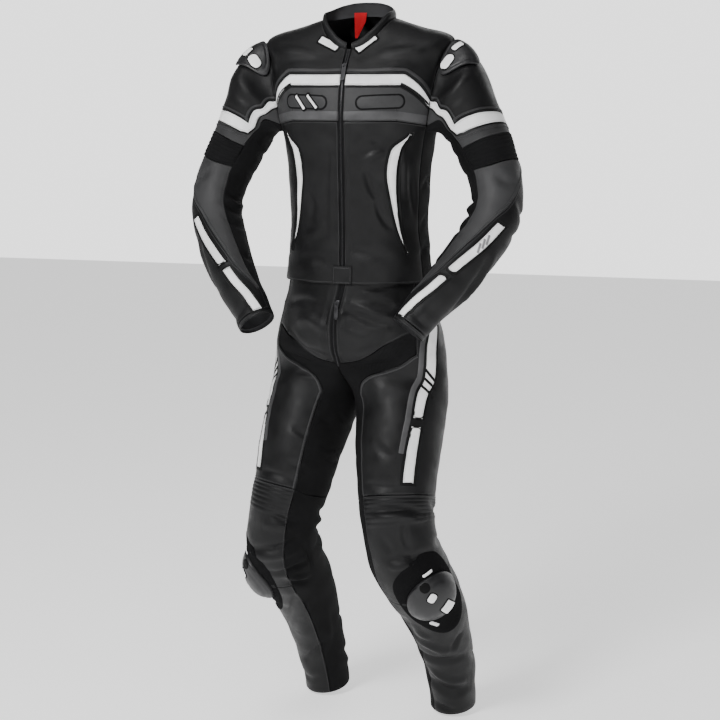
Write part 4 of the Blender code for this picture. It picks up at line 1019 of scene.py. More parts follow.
# ---------------------------------------------------------------- the panels
def label_torso(net):
    net.add("front", ((0, 3), ("hem", "grey_low")), ((4, 5), ("hem", "grey_low")),
            ((3, 4), ("hem", "pocket_low")), ((3, 4), ("armpit", "grey_low")))
    net.add("pocket_trim", ((3, 4), ("pocket_low", "armpit")))
    net.add("chest", ((0, 5), ("grey_low", "stripe_low")))
    net.add("chest_stripe", ((0, 5), ("stripe_low", "stripe_top")))
    net.add("yoke", ((0, 5), ("stripe_top", "neck")))
    net.add("side", ((SIDE_FRONT, SIDE_BACK), ("hem", "armpit")))
    net.add("back", ((SIDE_BACK, CENTRE_BACK), ("hem", "neck")))


def label_sleeve(net):
    net.add("sleeve_head", ((5, 13), ("armhole", "stripe_top")))
    net.add("sleeve_stripe", ((4, 5), ("armhole", "stripe_low")),
            ((5, 13), ("stripe_top", "stripe_low")))
    net.add("sleeve_band", ((2, 4), ("armhole", "band_low")),
            ((4, 13), ("stripe_low", "band_low")))
    net.add("sleeve_ribs", ((2, 13), ("band_low", "ribs_low")))
    net.add("elbow", ((2, 8), ("ribs_low", "lower_arm")))
    net.add("sleeve_inner", ((13, 14), ("armhole", "cuff_top")), ((0, 2), ("armhole", "cuff_top")))
    net.add("forearm", ((2, 8), ("lower_arm", "cuff_top")), ((8, 9), ("ribs_low", "cuff_top")),
            ((10, 13), ("ribs_low", "cuff_top")), ((9, 10), ("ribs_low", "strip_start")),
            ((9, 10), ("strip_gap_top", "strip_gap_low")))
    net.add("forearm_stripe_upper", ((9, 10), ("strip_start", "strip_gap_top")))
    net.add("forearm_stripe_lower", ((9, 10), ("strip_gap_low", "cuff_top")))
    net.add("cuff", ((0, 14), ("cuff_top", "cuff")))


def label_leg(net):
    net.add("hip_front", ((1, 3), ("waist", "band_top")))
    net.add("thigh", ((0, 3), ("band_low", "accordion_top")), ((3, 4), ("waist", "accordion_top")),
            ((4, 5), ("waist", "stripe_start")), ((4, 5), ("stripe_gap_top", "stripe_gap_low")),
            ((4, 5), ("stripe_end", "accordion_top")), ((5, 7), ("waist", "accordion_top")),
            ((7, 11), ("band_low", "accordion_top")))
    net.add("side_stripe_upper", ((4, 5), ("stripe_start", "stripe_gap_top")))
    net.add("side_stripe_lower", ((4, 5), ("stripe_gap_low", "stripe_end")))
    net.add("knee", ((0, 8), ("accordion_top", "knee_low")))
    net.add("shin", ((0, 8), ("knee_low", "hem")))
    net.add("calf", ((8, 16), ("accordion_top", "hem")))
    net.add("groin", ((0, 3), ("band_top", "band_low")), ((15, 16), ("band_top", "band_low")),
            ((11, 16), ("band_low", "accordion_top")))
    net.add("seat", ((7, 11), ("waist", "band_low")))
    net.add("fly", ((0, 1), (0, FLY_TO_LINE)))


ONE_PIECE = ("back", "groin", "seat", "fly")    # these cross the middle of the garment


def close_fork(net):
    """Puts the rises and the fork on the plane between the trouser halves."""
    column = net.u * LEG_COLUMNS
    x = net.base[..., 0]
    for line in (0, TRUNK_COLUMNS):
        at_line = net.tube.point(line / LEG_COLUMNS + 0 * net.v, net.v)[..., 0]
        share = np.clip(1 - np.abs(column - line), 0, 1)
        x = np.where(net.v < FORK_RING, x - at_line * share, x)
    x = np.maximum(x, FORK_GAP * np.clip(net.v - FORK_RING, 0, 1))
    middle = (net.v <= FORK_RING + TINY) & ((column >= TRUNK_COLUMNS - TINY) | (column <= TINY))
    net.base[..., 0] = np.where(middle, 0.0, x)


def armhole_line(net):
    """The armhole of a torso net as a line from the underarm up the front and down the back."""
    low, top = net.rows["armpit"], len(TORSO_LINES)
    row, front, back = nearest(net.j, low), nearest(net.i, SIDE_FRONT), nearest(net.i, SIDE_BACK)
    first = span(net.i, SIDE_FRONT, SIDE_MID)[::-1]
    up = span(net.j, low, top)
    down = up[::-1]
    last = span(net.i, SIDE_MID, SIDE_BACK)[::-1]
    marks = [SIDE_MID - net.i[first], 1 + net.j[up] - low,
             1 + 2 * (top - low) - (net.j[down] - low),
             SLEEVE_COLUMNS - 1 + SIDE_BACK - net.i[last]]
    line = [net.base[first, row], net.base[front, up], net.base[back, down], net.base[last, row]]
    return np.concatenate(marks), np.concatenate(line)


class Suit:
    """All nets of the garment."""

    def __init__(self, sizes):
        torso = torso_tube()
        body = self.torso_net(torso, 1)
        rows = [nearest(body.j, row) for row in range(body.rows["armpit"], len(TORSO_LINES) + 1)]
        front, middle, back = (nearest(body.i, line) for line in (SIDE_FRONT, SIDE_MID, SIDE_BACK))
        hole = [body.base[middle, rows[0]], *body.base[front, rows],
                *body.base[back, rows[-2::-1]]]
        self.tubes = {"torso": torso, "sleeve": sleeve_tube(hole), "leg": trouser_tube()}
        armhole = armhole_line(body)
        self.nets = []
        for side in (1, -1):
            for net in (self.torso_net(torso, side), self.sleeve_net(side, *armhole),
                        self.leg_net(side)):
                self.shape(net, sizes)
                self.measure(net)
                net.finish()
                self.nets.append(net)

    def torso_net(self, tube, side):
        names = [line.name for line in TORSO_LINES] + list(DOME_LINES)
        net = Net("torso", tube, *torso_places(tube), names, side, False)
        label_torso(net)
        return net

    def sleeve_net(self, side, marks, line):
        """A sleeve that starts on the armhole's line."""
        net = Net("sleeve", self.tubes["sleeve"], *sleeve_places(),
                  [line.name for line in SLEEVE_LINES], side, True)
        label_sleeve(net)
        true = np.stack([np.interp(net.i, marks, line[:, k]) for k in range(3)], -1)
        start = net.tube.point(net.i / SLEEVE_COLUMNS, 0 * net.i)
        fade = np.clip(1 - net.v / ARMHOLE_FADE, 0, 1)[..., None] ** 2
        net.base += (true - start)[:, None] * fade
        return net

    def leg_net(self, side):
        tube = self.tubes["leg"]
        net = Net("leg", tube, *leg_places(tube), [line.name for line in LEG_LINES], side, True)
        label_leg(net)
        close_fork(net)
        return net

    def shape(self, net, sizes):
        """Lays waves, folds, seams and ribs on a net."""
        net.find_edges()
        net.out[net.centre, 0] = 0
        net.out /= np.linalg.norm(net.out, axis=-1)[..., None]
        calm = np.where(net.seam | net.free, 0.0, 1.0)
        net.lift += sizes.unevenness * unevenness(mirrored(net.base, net.side)) * calm
        for fold in FOLDS[net.kind]:
            if fold.side in (0, net.side):
                share = FOLD_AT_SEAM + (1 - FOLD_AT_SEAM) * calm
                net.lift += crease(net, fold) * sizes.folds * share
        net.sink_seams(sizes)
        net.add_ribs(sizes)

    def kind(self, kind):
        """The left and the right net of one kind."""
        return [net for net in self.nets if net.kind == kind]

    def measure(self, net):
        """Flat coordinates in metres, round and along the tube."""
        rings = np.linspace(0, net.tube.last, FLAT_MARKS)
        chords = [np.linalg.norm(net.tube.point((k + 1) / FLAT_CHORDS, rings)
                                 - net.tube.point(k / FLAT_CHORDS, rings), axis=-1)
                  for k in range(FLAT_CHORDS)]
        middle = sum(net.tube.point(k / 8, rings) for k in range(8)) / 8
        net.flat = np.stack([net.u * float(np.median(sum(chords))),
                             np.interp(net.v, rings, run_length(middle))], -1)

    def sheet(self, piece, side):
        """A panel's cells: from both halves where it crosses the middle."""
        found = Sheet()
        for net in self.nets:
            if piece in net.pieces and (net.side == side or piece in ONE_PIECE):
                found.take_net(net, net.pieces.index(piece))
        return found


# ---------------------------------------------------------------- trim laid on the cloth
TRIM_CREASE = math.radians(40)
TRIM_SINK = 0.0006          # how far trim reaches into the cloth
TRIM_LIFT = 0.0002          # and its faces lie above it
BAND = ((-1.0, 0.0), (-0.8, 0.8), (0.0, 1.0), (0.8, 0.8), (1.0, 0.0))      # across, height
BAND_STEP = 0.004
CLOSED_STEP = 0.0025        # round a strip, where the band turns tightly
PLATE_STEP = 0.003
PLATE_CROWN = 0.2           # rise of a plate's middle as a share of its height
PLATE_EDGE = ((0.0, -0.6), (0.0, 0.35), (0.0004, 0.85), (0.0011, 1.0))  # inset, share of height
PLATE_TIP = 0.01            # size of a plate's innermost ring as a share of its outline
CORNER_PARTS = 6            # parts of a rounded corner
STRIP_MARKS = 90
ROUND_MARKS = 9             # marks on the quarter turn of a strip's rounded end
STRIP_END = np.linspace(-0.97, 0.97, 14)    # points across a flat end
CORNER_MARKS = 10           # marks from its tip along a rounded end that its corners take up
CORNER_REACH = 1.04         # width of the patch in a strip's corner, as a share of the strip's
CORNER_HEIGHT = 0.0016


class Ground:
    """The finished cloth, to lay trim on."""

    def __init__(self, points, ways, faces):
        self.points, self.ways, self.faces = points, ways, faces
        self.tree = BVHTree.FromPolygons([Vector(p) for p in points], faces)

    def at(self, point):
        """The nearest place on the cloth and the direction out of it."""
        place, _, number, _ = self.tree.find_nearest(Vector(point))
        place = np.array(place)
        corners = self.faces[number]
        weight = 1 / (np.linalg.norm(self.points[corners] - place, axis=1) + 1e-4)
        way = (self.ways[corners] * weight[:, None]).sum(0)
        return place, way / np.linalg.norm(way)


def ground_of(net):
    return Ground(net.face.reshape(-1, 3), net.way.reshape(-1, 3),
                  cells_of(net, net.label >= 0).tolist())


class Shape:
    """Points and faces of trim before it becomes one mesh."""

    def __init__(self):
        self.points, self.faces = [], []

    def rings(self, rings, closed=False):
        """Joins rings of as many points into a skin, with ends unless it is closed."""
        start, wide = len(self.points), len(rings[0])
        for ring in rings:
            self.points.extend(ring)
        last = len(rings) if closed else len(rings) - 1
        for k in range(last):
            a, b = start + k * wide, start + (k + 1) % len(rings) * wide
            for c in range(wide):
                n = (c + 1) % wide
                self.faces.append([a + c, a + n, b + n, b + c])
        if not closed:
            self.faces.append([start + c for c in reversed(range(wide))])
            self.faces.append([start + (len(rings) - 1) * wide + c for c in range(wide)])

    def to_object(self, name, look):
        mesh = bpy.data.meshes.new(name)
        mesh.from_pydata([tuple(p) for p in self.points], [], self.faces)
        shape = bmesh.new()
        shape.from_mesh(mesh)
        bmesh.ops.recalc_face_normals(shape, faces=shape.faces)
        shape.to_mesh(mesh)
        shape.free()
        mesh.shade_smooth()
        mesh.set_sharp_from_angle(angle=TRIM_CREASE)
        mesh.materials.append(look)
        return into_scene(name, mesh)


def evenly(path, step, closed=False):
    """A path with points a step apart."""
    path = np.array(path, float)
    if closed:
        path = np.concatenate([path, path[:1]])
    far = run_length(path)
    count = max(int(round(far[-1] / step)), 3)
    marks = np.linspace(0, far[-1], count + 1)
    if closed:
        marks = marks[:-1]
    return np.stack([np.interp(marks, far, path[:, k]) for k in range(3)], 1)


def lay_band(shape, ground, path, half, height, offset=0.0, closed=False):
    """A strip of even width laid on the cloth beside a path."""
    line = evenly(path, CLOSED_STEP if closed else BAND_STEP, closed)
    rings = []
    for k, point in enumerate(line):
        place, way = ground.at(point)
        ahead = line[(k + 1) % len(line)] if closed or k + 1 < len(line) else point
        behind = line[k - 1] if closed or k else point
        side = np.cross(way, ahead - behind)
        side /= max(np.linalg.norm(side), 1e-9)
        ring = []
        for across, rise in (*((a, TRIM_LIFT + b * height) for a, b in BAND),
                             (1.0, -TRIM_SINK), (-1.0, -TRIM_SINK)):
            spot, out = ground.at(place + side * (offset + across * half))
            ring.append(spot + out * rise)
        rings.append(ring)
    shape.rings(rings, closed)


def rounded(length, width, corner):
    """Outline of a plate with rounded corners, along and across, with points a step apart."""
    points = []
    for quarter, (sx, sy) in enumerate(((1, 1), (-1, 1), (-1, -1), (1, -1))):
        for k in range(CORNER_PARTS + 1):
            angle = math.pi / 2 * (quarter + k / CORNER_PARTS)
            points.append((sx * (length / 2 - corner) + corner * math.cos(angle),
                           sy * (width / 2 - corner) + corner * math.sin(angle)))
    outline = []
    for start, end in zip(points, points[1:] + points[:1]):
        parts = max(math.ceil(math.dist(start, end) / PLATE_STEP), 1)
        outline += [(start[0] + (end[0] - start[0]) * k / parts,
                     start[1] + (end[1] - start[1]) * k / parts) for k in range(parts)]
    return outline


def lay_plate(shape, ground, centre, along, outline, height):
    """A thin plate with a soft edge laid on the cloth. along is the direction of its length."""
    place, way = ground.at(centre)
    first = along - way * (along @ way)
    first /= np.linalg.norm(first)
    second = np.cross(way, first)
    outline = np.array(outline, float)
    short = np.abs(outline[:, 1]).max()
    soft = [1 - inset / short for inset, _ in PLATE_EDGE]
    inner = max(math.ceil(short / PLATE_STEP), 2)
    shares = soft + [soft[-1] * (1 - k / inner) + PLATE_TIP for k in range(1, inner + 1)]
    rises = [rise for _, rise in PLATE_EDGE]
    rises += [1 + PLATE_CROWN * math.sin(math.pi / 2 * k / inner) for k in range(1, inner + 1)]
    rings = []
    for share, rise in zip(shares, rises):
        ring = []
        for a, b in outline * share:
            spot, out = ground.at(place + first * a + second * b)
            ring.append(spot + out * (height * rise + (TRIM_LIFT if rise > 0 else 0.0)))
        rings.append(ring)
    shape.rings(rings)


def strip_outline(net, columns, rows, round_start, round_end, grow):
    """The outline, grown a little, of the strip between two long lines and two cross lines, and
    the inner and outer lines of the corners outside its rounded ends."""
    i0, i1 = (nearest(net.i, c) for c in columns)
    j = span(net.j, *(net.rows[row] for row in rows))
    left, right = net.face[i0, j], net.face[i1, j]
    middle, half = (left + right) / 2, (right - left) / 2
    tips = [middle[k] + (middle[k] - middle[step]) * grow
            / np.linalg.norm(middle[k] - middle[step]) for k, step in ((0, 1), (-1, -2))]
    middle = np.concatenate([tips[:1], middle, tips[1:]])
    half = np.concatenate([half[:1], half, half[-1:]])
    width = np.linalg.norm(half, axis=1)
    far = run_length(middle)
    marks = np.linspace(0, far[-1], STRIP_MARKS)
    bow = 1 - np.cos(np.linspace(0, math.pi / 2, ROUND_MARKS)[:-1])
    if round_start:
        marks = np.concatenate([width[0] * bow, marks[marks > width[0]]])
    if round_end:
        marks = np.concatenate([marks[marks < far[-1] - width[-1]],
                                (far[-1] - width[-1] * bow)[::-1]])

    def at(table):
        return np.stack([np.interp(marks, far, table[:, k]) for k in range(3)], 1)

    centre, across = at(middle), at(half)
    across *= 1 + grow / np.linalg.norm(across, axis=1)[:, None]
    share = np.ones(len(marks))
    for on, away, size in ((round_start, marks, width[0]),
                           (round_end, far[-1] - marks, width[-1])):
        if on:
            depth = np.clip(1 - away / size, 0, 1)
            share = np.minimum(share, np.sqrt(np.maximum(1 - depth ** 2, 0)))
    ends = []
    for on, k in ((round_end, -1), (round_start, 0)):
        line = [] if on else [centre[k] + across[k] * part for part in STRIP_END]
        ends.append(np.array(line).reshape(-1, 3))
    outline = np.concatenate([centre - across * share[:, None], ends[0],
                              (centre + across * share[:, None])[::-1], ends[1][::-1]])
    corners = []
    for on, part in ((round_start, slice(CORNER_MARKS)),
                     (round_end, slice(-CORNER_MARKS, None))):
        for sign in (1, -1) if on else ():
            inner = centre[part] + across[part] * sign * share[part, None]
            corners.append((inner, centre[part] + across[part] * sign * CORNER_REACH))
    return outline, corners


def lay_corner(shape, ground, inner, outer):
    """Fills the corner outside a rounded end."""
    rings = []
    for start, end in zip(inner, outer):
        ring = []
        for point, rise in ((start, CORNER_HEIGHT), ((start + end) / 2, CORNER_HEIGHT),
                            (end, CORNER_HEIGHT), (end, -TRIM_SINK), (start, -TRIM_SINK)):
            spot, out = ground.at(point)
            ring.append(spot + out * rise)
        rings.append(ring)
    shape.rings(rings)


def trace(net, *corners):
    """The cloth's points along seam lines through (long line, cross line) corners."""
    path = []
    for (c0, r0), (c1, r1) in zip(corners, corners[1:]):
        r0, r1 = (net.rows.get(r, r) for r in (r0, r1))
        i0, i1 = (nearest(net.i, c) for c in (c0, c1))
        j0, j1 = (nearest(net.j, r) for r in (r0, r1))
        if c0 == c1:
            step = 1 if j1 >= j0 else -1
            path.extend(net.face[i0, j] for j in range(j0, j1 + step, step))
        else:
            step = 1 if i1 >= i0 else -1
            path.extend(net.face[i, j0] for i in range(i0, i1 + step, step))
    return path


# ---------------------------------------------------------------- materials
GRAIN_SCALE, GRAIN_CUT, GRAIN_HEIGHT = 640.0, 0.12, 1.6
# Where soft steps start and end.
STITCH_ROW = (0.00035, 0.0008)      # from the middle of the row of stitches
STITCH_DASH = (0.28, 0.38)          # from the middle of a stitch, as a share of the pitch
STITCH_GROOVE = (0.0006, 0.0018)    # from the middle of the row
SEAM_SHADOW = (0.0, 0.0009)         # from the seam, for the painted shadow along it
WEAR_STEP = (0.38, 0.64)
WEAR_SHARES = (0.65, 0.35)          # of broad and patchy wear
UNWORN, SHADED = 0.86, 0.45         # shares of leather's colour where unworn and in a seam's painted shadow
SEAM_DARK, THREAD_SHOWN = 0.55, 0.8         # how much a seam's painted shadow and its thread show
GROOVE_DEPTH, STITCH_HEIGHT = 0.9, 1.1      # beside the grain's height
KNIT_ROW = (0.8, 0.5)               # a row's pitch and depth as shares of a rib's
# Scale and detail of the noises that make surfaces uneven.
BROAD_WEAR, PATCHY_WEAR, CLOTH_WEAR = (9.0, 4.0), (42.0, 3.0), (16.0, 3.0)
SCUFFS, FINE_GRAIN, LOOPS = (90.0, 5.0), (700.0, 2.0), (1300.0, 3.0)
THREAD, GREY_THREAD, WHITE_THREAD = (0.035, 0.035, 0.036), (0.05, 0.05, 0.05), (0.5, 0.5, 0.5)


class Nodes:
    """A material with short ways to wire its nodes."""

    def __init__(self, name):
        self.made = bpy.data.materials.new(name)
        self.made.use_nodes = True
        self.tree = self.made.node_tree
        self.shader = self.tree.nodes["Principled BSDF"]

    def feed(self, socket, value):
        if isinstance(value, bpy.types.NodeSocket):
            self.tree.links.new(value, socket)
        else:
            socket.default_value = value

    def node(self, kind, output=0, inputs=(), **settings):
        made = self.tree.nodes.new("ShaderNode" + kind)
        for key, value in settings.items():
            setattr(made, key, value)
        for key, value in dict(inputs).items():
            self.feed(made.inputs[key], value)
        return made.outputs[output]

    def math(self, operation, *values):
        return self.node("Math", inputs=enumerate(values), operation=operation)

    def scaled(self, value, factor):
        return self.math("MULTIPLY", value, factor)

    def ramp(self, value, low, high, start=0.0, end=1.0):
        """A soft step of a value from low to high."""
        return self.node("MapRange", interpolation_type="SMOOTHSTEP",
                         inputs={"Value": value, "From Min": low, "From Max": high,
                                 "To Min": start, "To Max": end})

    def mix(self, share, first, second):
        made = self.tree.nodes.new("ShaderNodeMix")
        made.data_type = "RGBA"
        for number, value in ((0, share), (6, first), (7, second)):
            self.feed(made.inputs[number], value)
        return made.outputs[2]

    def noise(self, place, scale, detail):
        return self.node("TexNoise", "Fac",
                         {"Vector": place, "Scale": scale, "Detail": detail})

    def bump(self, height, distance, strength):
        normal = self.node("Bump", inputs={"Height": height, "Distance": distance,
                                           "Strength": strength})
        self.feed(self.shader.inputs["Normal"], normal)

    def set(self, **values):
        for key, value in values.items():
            self.feed(self.shader.inputs[key.replace("_", " ")], value)


def shade(colour, factor):
    return (*(min(c * factor, 1.0) for c in colour[:3]), 1.0)


def leather(name, colour, rough, sizes, thread, worn=1.25, sewn=True):
    """Grained leather; panels have a row of stitches inside their seams, and painted shade darkens
    them towards each seam.
    """
    n = Nodes(name)
    place = n.node("TexCoord", "Object")
    pores = n.node("TexVoronoi", "Distance", {"Vector": place, "Scale": GRAIN_SCALE},
                   feature="DISTANCE_TO_EDGE")
    grain = n.math("MINIMUM", pores, GRAIN_CUT)
    broad = n.noise(place, *BROAD_WEAR)
    patchy = n.noise(place, *PATCHY_WEAR)
    wear = n.ramp(n.math("ADD", *map(n.scaled, (broad, patchy), WEAR_SHARES)), *WEAR_STEP)
    base = n.mix(wear, shade(colour, UNWORN), shade(colour, worn))
    height = n.scaled(grain, GRAIN_HEIGHT)
    if sewn:
        edge = n.node("Attribute", "Fac", attribute_name="edge")
        along = n.node("Attribute", "Fac", attribute_name="along")
        away = n.math("ABSOLUTE", n.math("SUBTRACT", edge, sizes.stitch_inset))
        row = n.ramp(away, *STITCH_ROW, 1.0, 0.0)
        dash = n.math("ABSOLUTE", n.math("SUBTRACT", n.math(
            "FRACT", n.math("DIVIDE", along, sizes.stitch_pitch)), 0.5))
        stitch = n.scaled(row, n.ramp(dash, *STITCH_DASH, 1.0, 0.0))
        groove = n.ramp(away, *STITCH_GROOVE, 1.0, 0.0)
        # Painted shade: the leather's colour darkens within a millimetre of each seam, as if in
        # the shadow of its fold.
        fold = n.ramp(edge, *SEAM_SHADOW, 1.0, 0.0)
        base = n.mix(n.scaled(fold, SEAM_DARK), base, shade(colour, SHADED))
        base = n.mix(n.scaled(stitch, THREAD_SHOWN), base, (*thread, 1.0))
        height = n.math("SUBTRACT", height, n.scaled(groove, GROOVE_DEPTH))
        height = n.math("ADD", height, n.scaled(stitch, STITCH_HEIGHT))
    n.set(Base_Color=base, Roughness=n.ramp(patchy, 0.3, 0.7, rough - 0.06, rough + 0.08),
          Specular_IOR_Level=sizes.gloss)
    n.bump(height, 0.0005, 0.55)
    return n.made


def knit(name, colour, rough, pitch, depth, sizes):
    """Stretch cloth with a fine ribbed knit along its flat coordinates."""
    n = Nodes(name)
    across = n.node("SeparateXYZ", inputs={"Vector": n.node("UVMap", uv_map="Flat")})
    along = across.node.outputs["Y"]
    ribs = n.math("SINE", n.scaled(across, math.tau / pitch))
    rows = n.math("SINE", n.scaled(along, math.tau / (pitch * KNIT_ROW[0])))
    height = n.math("ADD", ribs, n.scaled(rows, KNIT_ROW[1]))
    broad = n.noise(n.node("TexCoord", "Object"), *CLOTH_WEAR)
    n.set(Base_Color=n.mix(n.ramp(broad, 0.35, 0.65), shade(colour, 0.8), shade(colour, 1.3)),
          Roughness=n.ramp(broad, 0.3, 0.7, rough - 0.05, rough + 0.05),
          Specular_IOR_Level=sizes.gloss * 0.6)
    n.bump(height, depth, 0.8)
    return n.made


def hard(name, colour, rough, metal, gloss):
    """Moulded plastic or painted metal with faint scuffs."""
    n = Nodes(name)
    place = n.node("TexCoord", "Object")
    scuff = n.noise(place, *SCUFFS)
    fine = n.noise(place, *FINE_GRAIN)
    n.set(Base_Color=n.mix(n.ramp(scuff, 0.45, 0.7), (*colour, 1.0), shade(colour, 1.35)),
          Roughness=n.ramp(scuff, 0.3, 0.7, rough - 0.05, rough + 0.12), Metallic=metal,
          Specular_IOR_Level=gloss)
    n.bump(fine, 0.0002, 0.35)
    return n.made


def hooks(name, colour):
    """The looped pile under a knee slider."""
    n = Nodes(name)
    pile = n.noise(n.node("TexCoord", "Object"), *LOOPS)
    n.set(Base_Color=n.mix(n.ramp(pile, 0.35, 0.65), shade(colour, 0.5), shade(colour, 1.6)),
          Roughness=0.95, Specular_IOR_Level=0.05)
    n.bump(pile, 0.0008, 0.9)
    return n.made


def times(colour, factor):
    return tuple(c * factor for c in colour)


def make_looks(colours, sizes):
    """All looks by name. Trim that lies on the leather has no stitches of its own."""
    sewn = (("black_leather", colours.black, 0.46, sizes, THREAD),
            ("grey_leather", colours.grey, 0.50, sizes, GREY_THREAD),
            ("white_leather", colours.white, 0.42, sizes, WHITE_THREAD, 1.06))
    laid = (("piping", colours.grey, 0.45, sizes, THREAD),
            ("binding", times(colours.black, 0.3), 0.6, sizes, THREAD),
            ("white_trim", colours.white, 0.40, sizes, THREAD, 1.04),
            ("flash", times(colours.grey, 7), 0.38, sizes, THREAD, 1.1),
            ("dull_flash", times(colours.grey, 1.9), 0.42, sizes, THREAD))
    knitted = (("stretch", colours.stretch, 0.85, 0.0017, 0.0004),
               ("lining", colours.lining, 0.9, 0.0024, 0.0003),
               ("tape", colours.stretch, 0.8, 0.0012, 0.0002),
               ("red_label", colours.label, 0.75, 0.0010, 0.0002))
    moulded = (("dark", times(colours.plastic, 0.3), 0.65, 0.0, 0.10),
               ("hard_plastic", colours.plastic, 0.38, 0.0, 0.35),
               ("white_plastic", colours.white, 0.30, 0.0, 0.5),
               ("zip_metal", colours.metal, 0.36, 0.7, 0.5))
    return {**{row[0]: leather(*row) for row in sewn},
            **{row[0]: leather(*row, sewn=False) for row in laid},
            **{row[0]: knit(*row, sizes) for row in knitted},
            **{row[0]: hard(*row) for row in moulded},
            "pile": hooks("pile", colours.stretch)}


# ---------------------------------------------------------------- collar, tab and zips
OVERLAY_LIFT, OVERLAY_WALL = 0.0022, 0.0016
TAPE_WALL, TAPE_SINK = 0.0012, 0.0004
COLLAR_WALL = 0.0024
COLLAR_PARTS = 9
COLLAR_TUCK = 0.16          # share of its height that runs on inside the neck line
COLLAR_SWELL, COLLAR_ROLL, COLLAR_DIP = 0.0016, 0.0012, 0.0022
BOX_CREASE = math.radians(40)
TOOTH = (0.0026, 0.0012, 0.0011)
TOOTH_PITCH = 0.0024
TOOTH_BEVEL = 0.00022
TOOTH_RISE = 0.0001
TEETH_SHUT, TEETH_OPEN = 0.0007, 0.0019     # from the middle of the zip to the middle of a tooth


def collar_sheet(suit):
    """The stand collar on the neck line of both fronts and the back."""
    found = Sheet()
    for net in suit.kind("torso"):
        keep = (net.i <= SIDE_FRONT + TINY) | (net.i > SIDE_BACK + TINY)
        foot = mirrored(net.base, net.side)[keep, -1]
        marks = [*range(SIDE_FRONT + 1), *range(SIDE_BACK, CENTRE_BACK + 1)]
        tall = COLLAR_HEIGHTS[:6] + COLLAR_HEIGHTS[5:]
        height = np.interp(net.i[keep], marks, tall)
        out = foot * np.array([1, 1, 0])
        out /= np.linalg.norm(out, axis=1)[:, None]
        share = np.linspace(-COLLAR_TUCK, 1, COLLAR_PARTS + 2)
        above = np.maximum(share, 0)
        rise = (np.array([0, 0, 1.0]) + out * COLLAR_LEAN) * height[:, None]
        swell = (COLLAR_SWELL * np.sin(math.pi * above) ** 0.8 - COLLAR_ROLL * above ** 12
                 - COLLAR_DIP * (above - share) / COLLAR_TUCK)
        points = foot[:, None] + rise[:, None] * share[:, None] + out[:, None] * swell[:, None]
        far = run_length(foot)
        flat = np.stack(np.broadcast_arrays((far - far[-1])[:, None] * net.side,
                                            share * height[:, None]), -1)
        found.take_grid(points, np.broadcast_to(out[:, None], points.shape), flat)
    return found


def strip_between(suit, kind, rows, parts, dip, reach=0):
    """The strip between the first long lines of both halves, or from long line to long line."""
    left, right = suit.kind(kind)
    j = span(left.j, *(left.rows.get(row, row) for row in rows))
    share = np.linspace(0, 1, parts)[:, None, None]
    base = [standing(kind, net.base, net.side) for net in (left, right)]
    points = base[1][0, j] + (base[0][0, j] - base[1][0, j]) * share
    ways = left.way[0, j] + right.way[0, j]
    ways /= np.linalg.norm(ways, axis=-1)[..., None]
    ways = np.broadcast_to(ways, points.shape)
    points = points - ways * dip * np.sin(math.pi * share)
    if reach:
        i = span(left.i, 0, reach)
        points = np.concatenate([base[1][i[:0:-1]][:, j], points, base[0][i[1:]][:, j]])
        ways = np.concatenate([right.way[i[:0:-1]][:, j], ways, left.way[i[1:]][:, j]])
    flat = np.stack(np.broadcast_arrays(run_length(points[:, 0])[:, None],
                                        run_length(points[0])[None]), -1)
    found = Sheet()
    found.take_grid(points, ways, flat)
    return found, points, ways


def rounded_box(name, size, bevel, parts):
    """A block with soft edges."""
    bpy.ops.object.select_all(action="DESELECT")
    bpy.ops.mesh.primitive_cube_add(size=1)
    made = bpy.context.active_object
    made.name = made.data.name = name
    bpy.ops.object.mode_set(mode="EDIT")
    bpy.ops.mesh.select_all(action="SELECT")
    bpy.ops.transform.resize(value=size)
    bpy.ops.object.mode_set(mode="OBJECT")
    soft = made.modifiers.new("soft", "BEVEL")
    soft.width, soft.segments = bevel, parts
    bpy.ops.object.modifier_apply(modifier=soft.name)
    bpy.ops.object.shade_smooth_by_angle(angle=BOX_CREASE)
    return made


def placed(thing, matrix):
    """Bakes a place into a finished block."""
    thing.data.transform(matrix)
    thing.data.update()
    return thing


def coordinates(mesh):
    place = np.empty(len(mesh.vertices) * 3)
    mesh.vertices.foreach_get("co", place)
    return place.reshape(-1, 3)


def teeth(name, points, ways, split):
    """Two rows of teeth up the middle of a zip, meshed below the slider and apart above it."""
    middle, ways = points[len(points) // 2], ways[len(points) // 2]
    line = evenly(middle, TOOTH_PITCH / 2)
    rising = np.argsort(middle[:, 2])
    out = np.stack([np.interp(line[:, 2], middle[rising, 2], ways[rising, k])
                    for k in range(3)], 1)
    across = points[-1, len(points[0]) // 2] - points[0, len(points[0]) // 2]
    across /= np.linalg.norm(across)
    tooth = rounded_box(name + "_tooth", TOOTH, TOOTH_BEVEL, 1)
    place = coordinates(tooth.data)
    faces = [list(p.vertices) for p in tooth.data.polygons]
    bpy.data.objects.remove(tooth)
    whole = Shape()
    for k in range(1, len(line) - 1):
        along = line[k + 1] - line[k - 1]
        along /= np.linalg.norm(along)
        side = 1 if k % 2 else -1
        normal = out[k] - along * (out[k] @ along)
        normal /= np.linalg.norm(normal)
        right = np.cross(along, normal)
        right *= math.copysign(1, right @ across)
        apart = TEETH_SHUT if line[k, 2] < split else TEETH_OPEN
        spot = line[k] + right * side * apart + normal * TOOTH_RISE
        start = len(whole.points)
        whole.points.extend(spot + place @ np.stack([right, normal, along]))
        whole.faces.extend([[start + c for c in face] for face in faces])
    return whole


